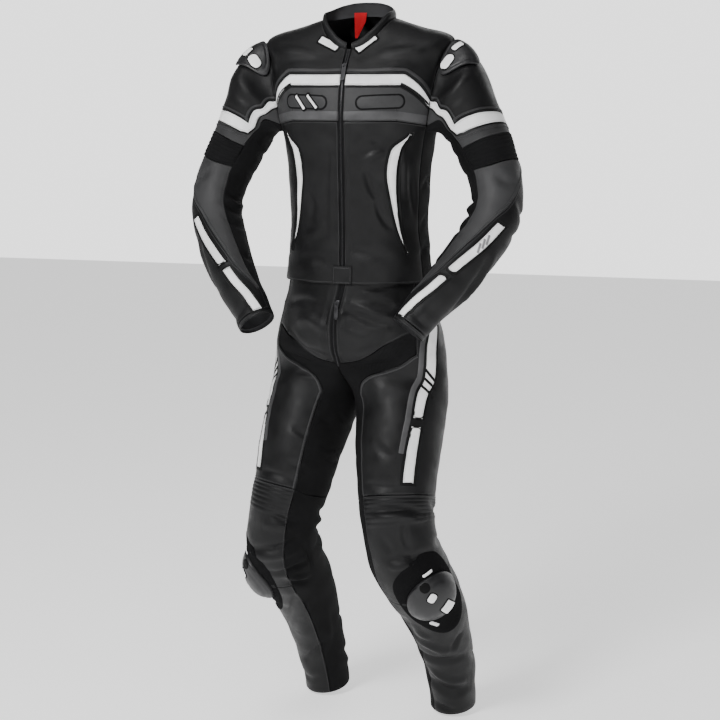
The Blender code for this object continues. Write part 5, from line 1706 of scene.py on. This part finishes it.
# ---------------------------------------------------------------- hard plates
DomeSize = namedtuple("DomeSize", "half_length half_width lift rim rise")
CAP_SIZE = DomeSize(0.036, 0.042, 0.0030, 0.0030, 0.006)
CAP_AT = (164 / 360, 0.56)  # turns round the sleeve from the underarm, stations from the armhole
SLIDER_SIZE = DomeSize(0.060, 0.058, 0.0008, 0.0060, 0.020)
SLIDER_AT = (3.66 / LEG_COLUMNS, 9.95)      # turns round the trouser half, rings from the waist
DOME_POWER = 2.4
DOME_WALL = 0.12            # share of a quarter turn that becomes the dome's upright rim
DOME_GROOVE = (0.83, 0.022, 0.0011)     # where a groove runs, its half width and its depth
DOME_PARTS = {"segments": 72, "ring_count": 40}
DOME_TAPER = 0.012          # how much narrower the rim's top is than its foot
DOME_CREASE = math.radians(45)
DOME_SPAN = (0.01, 0.1)     # turns and rings on either side over which the tube is measured


def dome(name, kind, tube, at, size, side):
    """A domed plate that follows the cloth under it, shaped from a sphere."""
    bpy.ops.object.select_all(action="DESELECT")
    bpy.ops.mesh.primitive_uv_sphere_add(radius=1, **DOME_PARTS)
    made = bpy.context.active_object
    made.name = made.data.name = name
    ball = coordinates(made.data)
    rise = np.arcsin(np.clip(ball[:, 2], -1, 1)) / (math.pi / 2)
    above = np.clip((np.abs(rise) - DOME_WALL) / (1 - DOME_WALL), 0, 1)
    share = np.cos(above * math.pi / 2) * (1 - DOME_TAPER * np.clip(rise / DOME_WALL, 0, 1) ** 2)
    angle = np.arctan2(ball[:, 1], ball[:, 0])
    top = size.lift + size.rim + size.rise * (1 - np.minimum(share, 1) ** DOME_POWER)
    middle, half, depth = DOME_GROOVE
    top -= depth * np.exp(-((share - middle) / half) ** 2)
    wall = size.lift + size.rim * np.clip(0.5 + rise / DOME_WALL / 2, 0, 1)
    height = np.where(rise > DOME_WALL, top, np.where(rise < -DOME_WALL, size.lift, wall))
    (u0, v0), (du, dv) = at, DOME_SPAN
    per_turn = np.linalg.norm(tube.point(u0 + du, v0) - tube.point(u0 - du, v0)) / (2 * du)
    per_ring = np.linalg.norm(tube.point(u0, v0 + dv) - tube.point(u0, v0 - dv)) / (2 * dv)
    u = u0 + size.half_width * share * np.sin(angle) / per_turn
    v = v0 + size.half_length * share * np.cos(angle) / per_ring
    base, out = tube.point(u, v), tube.normal(u, v)
    face = standing(kind, base + out * height[:, None], side)
    made.data.vertices.foreach_set("co", face.ravel())
    made.data.update()
    bpy.ops.object.mode_set(mode="EDIT")
    bpy.ops.mesh.select_all(action="SELECT")
    bpy.ops.mesh.normals_make_consistent(inside=False)
    bpy.ops.object.mode_set(mode="OBJECT")
    bpy.ops.object.shade_smooth_by_angle(angle=DOME_CREASE)
    return made


def ground_of_object(thing):
    """A finished dome to lay inserts on, with its faces in a fixed order."""
    mesh = thing.data
    ways = np.array([v.normal[:] for v in mesh.vertices])
    return Ground(coordinates(mesh), ways, sorted(list(p.vertices) for p in mesh.polygons))


# ---------------------------------------------------------------- slider and label
ZIP_SLIDER = (0.009, 0.0045, 0.014)     # width, thickness and height of a zip's slider
SLIDER_DEPTH = 0.0005       # how far its middle lies inside the zip's line
LUG = (0.003, 0.0034, 0.006)
LUG_ROOT = 0.001            # how far the lug reaches into the slider
HINGE_RISE = 0.002          # from the middle of the slider up to its lug
SLIDER_BEVEL, LUG_BEVEL, BEVEL_PARTS = 0.0012, 0.0007, 3
LABEL = (0.026, 0.050, 0.0008)          # width at the top, length and thickness of the neck label
LABEL_TOP = (-0.014, 0.0478, 0.008)     # middle of its top edge
LABEL_PARTS = (14, 6)       # points along it and across it
LABEL_SHAPE = ((-0.50, 0.00), (0.50, 0.00), (0.42, -0.35), (-0.25, -1.00), (-0.46, -1.00))


def zip_slider(name, point, across, up):
    """A zip's slider with the lug that carries its pull."""
    right = Vector(across).normalized()
    inward = Vector(up).cross(right).normalized()
    stand = Matrix((right, inward, right.cross(inward))).transposed().to_4x4()
    stand.translation = Vector(point)
    body = placed(rounded_box(name, ZIP_SLIDER, SLIDER_BEVEL, BEVEL_PARTS),
                  stand @ Matrix.Translation((0, SLIDER_DEPTH, 0)))
    away = (ZIP_SLIDER[1] + LUG[1]) / 2 - LUG_ROOT
    lug = placed(rounded_box(name + "_lug", LUG, LUG_BEVEL, BEVEL_PARTS),
                 stand @ Matrix.Translation((0, -away, HINGE_RISE)))
    bpy.ops.object.select_all(action="DESELECT")
    for thing in (lug, body):
        thing.select_set(True)
        bpy.context.view_layer.objects.active = thing
    bpy.ops.object.join()
    return body


def label_sheet():
    """The blank label that hangs inside the back of the neck."""
    width, length, _ = LABEL
    corners = np.array([(x * width, y * length) for x, y in LABEL_SHAPE])
    found, parts = Sheet(), np.linspace(0, 1, LABEL_PARTS[0])
    a = corners[0] + (corners[4] - corners[0]) * parts[:, None]
    right = corners[1:4]
    marks = run_length(right)
    b = np.stack([np.interp(parts, marks / marks[-1], right[:, k]) for k in range(2)], 1)
    across = np.linspace(0, 1, LABEL_PARTS[1])[:, None, None]
    flat = a + (b - a) * across
    points = np.array(LABEL_TOP) + np.stack([flat[..., 0], 0 * flat[..., 0], flat[..., 1]], -1)
    ways = np.broadcast_to(np.array([0.0, -1.0, 0.0]), points.shape)
    found.take_grid(points, ways, flat)
    return found


# ---------------------------------------------------------------- trim
# Bindings and pipings beside the seams. Corners are (long line, cross line) of the net.
Band = namedtuple("Band", "name look net half height offset corners")
STRIPE_TOP, STRIPE_LOW, GREY_LOW = (((0, row), (SIDE_FRONT, row))
                                    for row in ("stripe_top", "stripe_low", "grey_low"))
POCKET_IN, POCKET_OUT = (((column, "pocket_low"), (column, "armpit")) for column in (3, 4))
SLEEVE_TOP = ((5, "armhole"), (5, "stripe_top"), (13, "stripe_top"))
BANDS = [
    Band("stripe_edge_top", "binding", "torso", 0.0016, 0.0007, 0.0016, STRIPE_TOP),
    Band("stripe_rib", "piping", "torso", 0.0034, 0.0016, 0.0085, STRIPE_TOP),
    Band("stripe_edge_low", "binding", "torso", 0.0024, 0.0007, -0.0024, STRIPE_LOW),
    Band("stripe_edge_bend", "binding", "torso", 0.0028, 0.0009, 0.0026,
         ((4, "stripe_low"), (5, "stripe_low"))),
    Band("chest_flash", "dull_flash", "torso", 0.0080, 0.0006, 0.0110, GREY_LOW),
    Band("pocket_edge_in", "binding", "torso", 0.0030, 0.0010, 0.0030, POCKET_IN),
    Band("pocket_edge_out", "binding", "torso", 0.0030, 0.0010, -0.0030, POCKET_OUT),
    Band("pocket_zip", "binding", "torso", 0.0026, 0.0013, 0.0022, POCKET_OUT),
    Band("sleeve_edge_top", "binding", "sleeve", 0.0018, 0.0007, 0.0018, SLEEVE_TOP),
    Band("sleeve_rib_top", "piping", "sleeve", 0.0020, 0.0012, 0.0075, SLEEVE_TOP),
    Band("sleeve_edge_low", "binding", "sleeve", 0.0018, 0.0007, -0.0018,
         ((4, "armhole"), (4, "stripe_low"), (13, "stripe_low"))),
    Band("sleeve_rib_low", "piping", "sleeve", 0.0020, 0.0012, -0.0085,
         ((4, "stripe_low"), (13, "stripe_low"))),
    Band("elbow_rib", "piping", "sleeve", 0.0018, 0.0011, -0.0050,
         ((8, "ribs_low"), (8, "lower_arm"))),
    Band("thigh_seam", "piping", "leg", 0.0015, 0.0010, 0.0052,
         ((3, "band_low"), (0, "band_low"), (0, "accordion_top"))),
    Band("thigh_flash", "dull_flash", "leg", 0.0058, 0.0008, -0.0098,
         ((4, "hip"), (4, "thigh_low"))),
]

# White strips with their rounded ends and the black binding round them.
Strip = namedtuple("Strip", "name net columns rows round_start round_end")
STRIPS = [
    Strip("forearm_upper_edge", "sleeve", (9, 10), ("strip_start", "strip_gap_top"), False, True),
    Strip("forearm_lower_edge", "sleeve", (9, 10), ("strip_gap_low", "cuff_top"), True, False),
    Strip("side_upper_edge", "leg", (4, 5), ("stripe_start", "stripe_gap_top"), False, True),
    Strip("side_lower_edge", "leg", (4, 5), ("stripe_gap_low", "stripe_end"), True, False),
]
STRIP_EDGE = 0.0032         # half width of that binding
STRIP_GROW = 0.75           # how far its middle runs outside the strip, as a share of that

# Small plates on the cloth: the place of the middle and one in the direction of the length, in
# degrees or columns round and rings along a tube; length, width, radius of the corners, height and
# the width of a dark edge. Side 0 is both sides.
Mark = namedtuple("Mark", "name look base side at toward length width corner height rim")
BADGE = (0.046, 0.0145, 0.0020, 0.0012, 0.0040)
CHEST_SLASH = (0.036, 0.0055, 0.0012, 0.0036, 0.0028)
SLEEVE_SLASH = (0.020, 0.0044, 0.0010, 0.0012, 0.0)
THIGH_SLASH = (0.040, 0.0054, 0.0012, 0.0010, 0.0)
OVAL = (0.034, 0.021, 0.0102, 0.0012, 0.0020)
MARKS = [Mark(*mark) for mark in (
    ("collar_badge", "white_trim", "torso", -1, (28.0, 10.79), (13.3, 10.812), *BADGE),
    ("collar_badge", "white_trim", "torso", 1, (24.8, 11.00), (9.3, 10.69), *BADGE),
    ("chest_slash_out", "white_trim", "torso", -1, (28.5, 6.36), (24.7, 6.06), *CHEST_SLASH),
    ("chest_slash_in", "white_trim", "torso", -1, (18.3, 6.38), (14.5, 6.08), *CHEST_SLASH),
    ("chest_pad", "piping", "torso", 0, (24.0, 6.38), (38.7, 6.41),
     0.094, 0.0230, 0.0114, 0.0014, 0.0030),
    ("sleeve_slash_top", "flash", "sleeve", 1, (112.7, 5.71), (109.9, 5.60), *SLEEVE_SLASH),
    ("sleeve_slash_mid", "flash", "sleeve", 1, (109.0, 5.83), (105.9, 5.73), *SLEEVE_SLASH),
    ("sleeve_slash_low", "flash", "sleeve", 1, (105.4, 5.96), (102.1, 5.85), *SLEEVE_SLASH),
    ("thigh_slash_top", "binding", "leg", 0, (4.11, 3.87), (4.36, 4.03), *THIGH_SLASH),
    ("thigh_slash_mid", "binding", "leg", 0, (4.10, 4.22), (4.45, 4.42), *THIGH_SLASH),
    ("thigh_slash_low", "binding", "leg", 0, (4.10, 4.67), (4.45, 4.82), *THIGH_SLASH),
    ("knee_dash", "white_trim", "leg", 0, (2.76, 10.975), (3.09, 11.186),
     0.026, 0.0090, 0.0040, 0.0030, 0.0028),
    ("cap_oval", "white_plastic", "cap", -1, (156.3, 0.50), (150.6, 0.37), *OVAL),
    ("cap_oval", "white_plastic", "cap", 1, (158.0, 0.29), (154.0, 0.20), *OVAL),
    ("cap_bar", "white_plastic", "cap", -1, (167.6, 0.66), (170.0, 0.59),
     0.024, 0.0130, 0.0040, 0.0012, 0.0020),
    ("cap_bar", "white_plastic", "cap", 1, (170.6, 0.36), (175.0, 0.43),
     0.026, 0.0130, 0.0040, 0.0012, 0.0020),
    ("knee_bar", "white_plastic", "leg", 0, (3.98, 9.15), (4.21, 9.15),
     0.026, 0.0070, 0.0030, 0.0030, 0.0020),
    ("knee_disc", "dark", "slider", 0, (3.31, 9.29), (3.87, 9.29),
     0.022, 0.022, 0.0108, 0.0010, 0.0),
    ("knee_tongue", "white_plastic", "slider", 0, (3.41, 9.58), (3.85, 9.47),
     0.020, 0.0170, 0.0060, 0.0014, 0.0022),
    ("knee_badge", "white_plastic", "slider", 0, (4.03, 10.26), (4.25, 10.62),
     0.052, 0.0280, 0.0030, 0.0014, 0.0030),
)]
# The pile under a knee slider, as columns and rings round its edge.
PILE = ((1.35, 9.2), (2.3, 8.85), (3.6, 8.68), (4.8, 8.72), (5.6, 9.05), (6.0, 9.9), (5.95, 10.8),
        (5.5, 11.35), (4.6, 11.62), (3.4, 11.66), (2.3, 11.3), (1.5, 10.6), (1.15, 9.9))
PILE_HEIGHT = 0.0012
PILE_PARTS = 6              # points of the outline from one place to the next


# ---------------------------------------------------------------- what the operators share
PLATES = {      # name, tube, place and size of the domed plates
    "cap": ("shoulder_cap", "sleeve", CAP_AT, CAP_SIZE),
    "slider": ("knee_slider", "leg", SLIDER_AT, SLIDER_SIZE),
}
PLATE_REACH = {"cap": 0.014, "slider": 0.028}   # from the tube to a place above the dome
# Which panel each piece of trim is sewn to, by the first word of its name.
TRIM_ON = {"stripe": "chest", "chest": "chest", "pocket": "front", "sleeve": "sleeve_band",
           "elbow": "elbow", "forearm": "forearm", "side": "thigh", "thigh": "thigh",
           "knee": "knee", "collar": "yoke"}
MARK_ON = {**TRIM_ON, "sleeve": "sleeve_head"}
STRIP_HEIGHT = 0.0009
RIM_HEIGHT = 0.6            # height of the edge under a plate as a share of the plate's
RIM_CORNER = 0.8            # how much of the edge's width its corners gain in radius
PILE_RINGS = ((1.0, -0.5), (1.0, 0.6), (0.985, 1.0), (0.9, 1.0), (0.75, 1.0), (0.55, 1.0),
              (0.3, 1.0), (0.05, 1.0))      # share of the way out and share of the height


class Work:
    """The nets, looks and finished cloth of the suit that is being built."""

    def __init__(self, sizes, colours):
        self.sizes = sizes
        self.suit = Suit(sizes)
        self.looks = make_looks(colours, sizes)
        self.slots = {part["node"]: part["material_slot"] for part in frame["record"]["subparts"]}
        self.cloth = {}
        self.with_cloth = {}
        self.grounds = {}

    def show(self, made, node=None, look=None):
        """Rides a finished object on the suit with its look."""
        look = look or self.slots[node]
        if look in self.looks and not made.data.materials:
            made.data.materials.append(self.looks[look])
        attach(made, BODY)
        if node:
            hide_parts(node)
        return made

    def sew(self, node, sheet, thickness=None, lift=0.0, look=None):
        """Shows a panel as cloth in place of its solid."""
        made = shell(node + "_cloth", sheet, thickness or self.sizes.cloth, lift)
        made.data.materials.append(self.looks[look or self.slots[node]])
        made.data.materials.append(self.looks["lining"])
        self.cloth[node] = self.show(made, node, look)

    def trim(self, node, shape, name, look):
        """Shows finished trim, sewn to a node unless that is None."""
        made = self.show(shape.to_object(name, self.looks[look]), look=look)
        if node:
            self.sewn_on(node, made)

    def sewn_on(self, node, *pieces):
        self.with_cloth.setdefault(node, []).extend(pieces)

    def panels(self, kind):
        for net in self.suit.kind(kind):
            for piece in net.pieces:
                node = piece if piece in ONE_PIECE else piece + tag_of(net.side)
                if node not in self.cloth and piece != "fly":
                    self.sew(node, self.suit.sheet(piece, net.side))

    def ground(self, base, side):
        if (base, side) not in self.grounds:
            net = next(net for net in self.suit.kind(base) if net.side == side)
            self.grounds[base, side] = ground_of(net)
        return self.grounds[base, side]

    def place(self, base, at, side):
        """A place on a tube, or as far off it as the plate on it reaches."""
        kind = PLATES[base][1] if base in PLATES else base
        tube = self.suit.tubes[kind]
        spot = np.array([at[0] / UNIT[kind]]), np.array([at[1]])
        lift = PLATE_REACH.get(base, 0.0)
        return standing(kind, tube.point(*spot) + tube.normal(*spot) * lift, side)[0]


class Current:
    """The one suit that is being built."""
    work = None


def work_of(context):
    if Current.work is None:
        Current.work = Work(context.scene.suit_sizes, context.scene.suit_colours)
    return Current.work


def build_tab(work):
    found, _, _ = strip_between(work.suit, "torso", ("hem", "tab"), parts=5, dip=0.0, reach=1)
    work.sew("hem_tab", found, OVERLAY_WALL, OVERLAY_LIFT)


def build_zip(work, node, found, points, ways, top, across, up):
    """Tape, teeth and slider of a zip."""
    work.sew(node, found, TAPE_WALL, -TAPE_SINK, "tape")
    chain = teeth(node + "_teeth", points, ways, top[2]).to_object(
        node + "_teeth", work.looks["zip_metal"])
    body = zip_slider(node + "_slider", top, across, up)
    for thing in (chain, body):
        work.show(thing, node, "zip_metal")
    work.sewn_on(node, chain, body)


def build_main_zip(work):
    left, right = work.suit.kind("torso")

    def middle(name):
        j = nearest(left.j, left.rows[name])
        return (mirrored(left.base, 1)[0, j] + mirrored(right.base, -1)[0, j]) / 2

    top = middle("yoke")
    tape = strip_between(work.suit, "torso", ("hem", "neck"), parts=7, dip=0.0006)
    build_zip(work, "main_zip", *tape, top, (1, 0, 0), top - middle("stripe_low"))


def build_fly(work):
    left, right = work.suit.kind("leg")

    def at(net, column, row):
        return turned(net.base, net.side)[nearest(net.i, column), nearest(net.j, row)]

    tape = strip_between(work.suit, "leg", (0, FLY_TO_LINE), parts=5, dip=0.0004, reach=1)
    high, low = at(left, 0, 1), at(left, 0, 2)
    build_zip(work, "fly", *tape, (high + low) / 2, at(left, 1, 2) - at(right, 1, 2), high - low)


def build_plates(work, base):
    """The domed plates of both shoulders or both knees."""
    name, kind, at, size = PLATES[base]
    for side in (1, -1):
        node = name + tag_of(side)
        made = dome(node + "_dome", kind, work.suit.tubes[kind], at, size, side)
        work.show(made, node, "hard_plastic")
        work.grounds[base, side] = ground_of_object(made)


def build_bands(work, kind):
    """Bindings and pipings on one kind of tube."""
    for net in work.suit.kind(kind):
        tag = tag_of(net.side)
        ground = work.ground(kind, net.side)
        for band in BANDS:
            if band.net == kind:
                shape = Shape()
                lay_band(shape, ground, trace(net, *band.corners), band.half,
                         band.height, band.offset * net.side)
                work.trim(TRIM_ON[band.name.split("_")[0]] + tag, shape, band.name + tag,
                          band.look)
        for strip in STRIPS:
            if strip.net == kind:
                shape = Shape()
                outline, corners = strip_outline(net, *strip[2:], STRIP_EDGE * STRIP_GROW)
                lay_band(shape, ground, outline, STRIP_EDGE, STRIP_HEIGHT, closed=True)
                for lines in corners:
                    lay_corner(shape, ground, *lines)
                work.trim(TRIM_ON[strip.name.split("_")[0]] + tag, shape, strip.name + tag,
                          "binding")


def build_marks(work, base):
    """Badges, slashes and inserts, each with its dark edge under it."""
    for mark in (mark for mark in MARKS if mark.base == base):
        for side in ((mark.side,) if mark.side else (1, -1)):
            tag = tag_of(side)
            at, toward = (work.place(base, spot, side) for spot in (mark.at, mark.toward))
            node = None if base in PLATES else MARK_ON[mark.name.split("_")[0]] + tag
            plates = [("", mark.look, 0.0, 1.0)]
            if mark.rim:
                plates.insert(0, ("_edge", "dark", mark.rim, RIM_HEIGHT))
            for part, look, rim, rise in plates:
                shape = Shape()
                outline = rounded(mark.length + 2 * rim, mark.width + 2 * rim,
                                  mark.corner + rim * RIM_CORNER)
                lay_plate(shape, work.ground(base, side), at, toward - at, outline,
                          mark.height * rise)
                work.trim(node, shape, mark.name + part + tag, look)


def build_pile(work):
    """The pile on each knee that the slider clings to."""
    for side in (1, -1):
        ground = work.ground("leg", side)
        path = np.array([work.place("leg", spot, side) for spot in PILE])
        closed = np.concatenate([path[-2:], path, path[:3]])
        weights = [blend(t) for t in np.linspace(0, 1, PILE_PARTS + 1)[:-1]]
        outline = np.array([sum(w[k] * closed[n + 1 + k] for k in range(4))
                            for n in range(len(path)) for w in weights])
        centre = work.place("leg", (SLIDER_AT[0] * LEG_COLUMNS, SLIDER_AT[1]), side)
        shape, rings = Shape(), []
        for share, rise in PILE_RINGS:
            spots = [ground.at(point) for point in centre + (outline - centre) * share]
            rings.append([spot + out * PILE_HEIGHT * rise for spot, out in spots])
        shape.rings(rings)
        work.trim("knee" + tag_of(side), shape, "knee_pile" + tag_of(side), "pile")


def dress_nodes(work):
    """Gives every solid that stays in sight its look."""
    for name, node in frame["nodes"].items():
        node.data.materials.clear()
        node.data.materials.append(work.looks[work.slots[name]])


def declare_cloth(work):
    for node, made in work.cloth.items():
        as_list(work.with_cloth.get(node, ()))


# ---------------------------------------------------------------- stage
FLOOR, FLOOR_HALF = -1.46, 9
FLOOR_COLOUR, FLOOR_GLOW = (0.97, 0.97, 0.97), 0.8
AZIMUTH = math.radians(18)  # of the camera, from straight ahead to the wearer's left
CAMERA_DISTANCE, CAMERA_HEIGHT = 3.5, -0.15
AIM = Vector((0, 0, -0.69))
VIEW_WIDTH = 1.47           # width of the view where the camera aims
SENSOR = 36
LAMPS = (("key", (-0.9, -3.1, 1.5), 122, 1.0), ("fill", (1.9, -2.9, -0.7), 22, 1.2),
         ("top", (-0.4, -0.9, 2.4), 26, 1.2))
# The sky is dim but for a soft bright patch behind the suit.
SKY = (("From Min", 0.62), ("From Max", 0.88), ("To Min", 0.16), ("To Max", 2.1))


def aimed(name, data, spot):
    """A camera or lamp that looks at the suit's middle."""
    made = into_scene(name, data)
    made.location = spot
    made.rotation_euler = (AIM - Vector(spot)).to_track_quat("-Z", "Y").to_euler()
    return made


def build_floor():
    floor = bpy.data.meshes.new("floor")
    floor.from_pydata([(x * FLOOR_HALF, y * FLOOR_HALF, FLOOR)
                       for x, y in ((-1, -1), (1, -1), (1, 1), (-1, 1))], [], [(0, 1, 2, 3)])
    made = into_scene("floor", floor)
    n = Nodes("floor")
    n.set(Base_Color=(*FLOOR_COLOUR, 1.0), Roughness=0.9, Emission_Color=(1.0, 1.0, 1.0, 1.0),
          Emission_Strength=FLOOR_GLOW)
    made.data.materials.append(n.made)


def build_sky():
    world = bpy.data.worlds.new("studio")
    world.use_nodes = True
    tree = world.node_tree
    sky = tree.nodes["Background"]
    sky.inputs["Color"].default_value = (1, 1, 1, 1)
    place = tree.nodes.new("ShaderNodeTexCoord")
    parts = tree.nodes.new("ShaderNodeSeparateXYZ")
    ramp = tree.nodes.new("ShaderNodeMapRange")
    ramp.interpolation_type = "SMOOTHSTEP"
    for key, value in SKY:
        ramp.inputs[key].default_value = value
    tree.links.new(place.outputs["Generated"], parts.inputs[0])
    tree.links.new(parts.outputs["Y"], ramp.inputs["Value"])
    tree.links.new(ramp.outputs[0], sky.inputs["Strength"])
    bpy.context.scene.world = world


def build_stage():
    build_floor()
    eye = (Vector((math.sin(AZIMUTH), -math.cos(AZIMUTH), 0)) * CAMERA_DISTANCE
           + Vector((0, 0, CAMERA_HEIGHT)))
    data = bpy.data.cameras.new("camera")
    data.sensor_width = SENSOR
    data.lens = SENSOR * (AIM - eye).length / VIEW_WIDTH
    bpy.context.scene.camera = aimed("camera", data, eye)
    build_sky()
    for name, spot, power, size in LAMPS:
        lamp = bpy.data.lights.new(name, "AREA")
        lamp.energy, lamp.size = power, size
        aimed(name, lamp, spot)


# ---------------------------------------------------------------- add-on
def length_of(name, text, value, least=0.0, most=0.05):
    return bpy.props.FloatProperty(name=name, description=text, default=value, min=least, max=most,
                                   precision=4, subtype="DISTANCE", unit="LENGTH")


def share_of(name, text, value, most=1.0):
    return bpy.props.FloatProperty(name=name, description=text, default=value, min=0.0, max=most,
                                   subtype="FACTOR")


def colour_of(name, text, value):
    return bpy.props.FloatVectorProperty(name=name, description=text, default=value, min=0.0,
                                         max=1.0, size=3, subtype="COLOR")


class SuitSizes(bpy.types.PropertyGroup):
    cloth: length_of("Leather", "Thickness of the leather at its open edges", 0.0014, 0.0005,
                     0.003)
    seam_depth: length_of("Seam depth", "How deep a sewn seam lies", 0.0013, 0, 0.003)
    seam_swell: length_of("Seam swell", "How much the leather beside a seam swells", 0.0004, 0,
                          0.002)
    unevenness: length_of("Unevenness", "Height of the gentle waves of worn leather", 0.0009, 0,
                          0.004)
    stitch_inset: length_of("Stitch inset", "From a seam to its row of stitches", 0.0032, 0.001,
                            0.01)
    stitch_pitch: length_of("Stitch pitch", "Length of one stitch and its gap", 0.0038, 0.001,
                            0.02)
    folds: share_of("Folds", "Depth of the folds as a share of their own", 1.5, 3.0)
    ribs: share_of("Ribs", "Depth of the stretch ribs as a share of their own", 1.0, 2.0)
    gloss: share_of("Gloss", "Specular level of the leather", 0.20)


class SuitColours(bpy.types.PropertyGroup):
    black: colour_of("Black leather", "Colour of the black panels", (0.0060, 0.0060, 0.0064))
    grey: colour_of("Grey leather", "Colour of the grey panels", (0.031, 0.031, 0.032))
    white: colour_of("White leather", "Colour of the stripes and badges", (0.93, 0.93, 0.93))
    stretch: colour_of("Stretch cloth", "Colour of the stretch panels", (0.0060, 0.0060, 0.0064))
    lining: colour_of("Lining", "Colour of the inside", (0.040, 0.040, 0.042))
    plastic: colour_of("Plastic", "Colour of the shoulder caps and knee sliders",
                       (0.012, 0.012, 0.013))
    metal: colour_of("Metal", "Colour of the zips", (0.030, 0.030, 0.032))
    label: colour_of("Label", "Colour of the neck label", (0.56, 0.012, 0.02))


class SUIT_OT_jacket(bpy.types.Operator):
    """Sews the jacket's panels, its stand collar and the flap at its hem"""
    bl_idname = "suit.jacket"
    bl_label = "Jacket"

    def execute(self, context):
        work = work_of(context)
        dress_nodes(work)
        work.panels("torso")
        work.sew("collar", collar_sheet(work.suit), COLLAR_WALL)
        build_tab(work)
        return {"FINISHED"}


class SUIT_OT_sleeves(bpy.types.Operator):
    """Sews the panels of both sleeves"""
    bl_idname = "suit.sleeves"
    bl_label = "Sleeves"

    def execute(self, context):
        work_of(context).panels("sleeve")
        return {"FINISHED"}


class SUIT_OT_trousers(bpy.types.Operator):
    """Sews the panels of the trousers"""
    bl_idname = "suit.trousers"
    bl_label = "Trousers"

    def execute(self, context):
        work_of(context).panels("leg")
        return {"FINISHED"}


class SUIT_OT_zips(bpy.types.Operator):
    """Makes the tapes, teeth and sliders of the front zip and the fly"""
    bl_idname = "suit.zips"
    bl_label = "Zips"

    def execute(self, context):
        work = work_of(context)
        build_main_zip(work)
        build_fly(work)
        return {"FINISHED"}


class SUIT_OT_label(bpy.types.Operator):
    """Makes the blank label inside the back of the neck"""
    bl_idname = "suit.label"
    bl_label = "Neck label"

    def execute(self, context):
        work_of(context).sew("neck_label", label_sheet(), LABEL[2], LABEL[2] / 2)
        return {"FINISHED"}


class SUIT_OT_caps(bpy.types.Operator):
    """Makes the shoulder caps with their white inserts"""
    bl_idname = "suit.caps"
    bl_label = "Shoulder caps"

    def execute(self, context):
        work = work_of(context)
        build_plates(work, "cap")
        build_marks(work, "cap")
        return {"FINISHED"}


class SUIT_OT_knee_sliders(bpy.types.Operator):
    """Makes the knee sliders with their inserts and the pile under them"""
    bl_idname = "suit.knee_sliders"
    bl_label = "Knee sliders"

    def execute(self, context):
        work = work_of(context)
        build_pile(work)
        build_plates(work, "slider")
        build_marks(work, "slider")
        return {"FINISHED"}


class SUIT_OT_trims(bpy.types.Operator):
    """Lays the bindings, pipings, slashes and badges on the leather"""
    bl_idname = "suit.trims"
    bl_label = "Trims"

    def execute(self, context):
        work = work_of(context)
        for kind in ("torso", "sleeve", "leg"):
            build_bands(work, kind)
            build_marks(work, kind)
        return {"FINISHED"}


class SUIT_OT_stage(bpy.types.Operator):
    """Sets the floor, the camera and the soft lights"""
    bl_idname = "suit.stage"
    bl_label = "Stage"

    def execute(self, context):
        build_stage()
        return {"FINISHED"}


STEPS = (SUIT_OT_jacket, SUIT_OT_sleeves, SUIT_OT_trousers, SUIT_OT_zips, SUIT_OT_label,
         SUIT_OT_caps, SUIT_OT_knee_sliders, SUIT_OT_trims, SUIT_OT_stage)


class SUIT_PT_panel(bpy.types.Panel):
    """Settings and building steps of the race suit"""
    bl_idname = "SUIT_PT_panel"
    bl_label = "Race suit"
    bl_space_type = "VIEW_3D"
    bl_region_type = "UI"
    bl_category = "Race suit"

    def draw(self, context):
        for settings in (context.scene.suit_sizes, context.scene.suit_colours):
            box = self.layout.box()
            for name in type(settings).__annotations__:
                box.prop(settings, name)
        for step in STEPS:
            self.layout.operator(step.bl_idname)


CLASSES = (SuitSizes, SuitColours, *STEPS, SUIT_PT_panel)


def register():
    for kind in CLASSES:
        bpy.utils.register_class(kind)
    bpy.types.Scene.suit_sizes = bpy.props.PointerProperty(type=SuitSizes)
    bpy.types.Scene.suit_colours = bpy.props.PointerProperty(type=SuitColours)


def unregister():
    del bpy.types.Scene.suit_colours
    del bpy.types.Scene.suit_sizes
    for kind in reversed(CLASSES):
        bpy.utils.unregister_class(kind)


def main():
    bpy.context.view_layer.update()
    register()
    bpy.ops.suit.jacket()
    bpy.ops.suit.sleeves()
    bpy.ops.suit.trousers()
    bpy.ops.suit.zips()
    bpy.ops.suit.label()
    bpy.ops.suit.caps()
    bpy.ops.suit.knee_sliders()
    bpy.ops.suit.trims()
    bpy.ops.suit.stage()
    declare_cloth(Current.work)


if __name__ == "__main__":
    main()
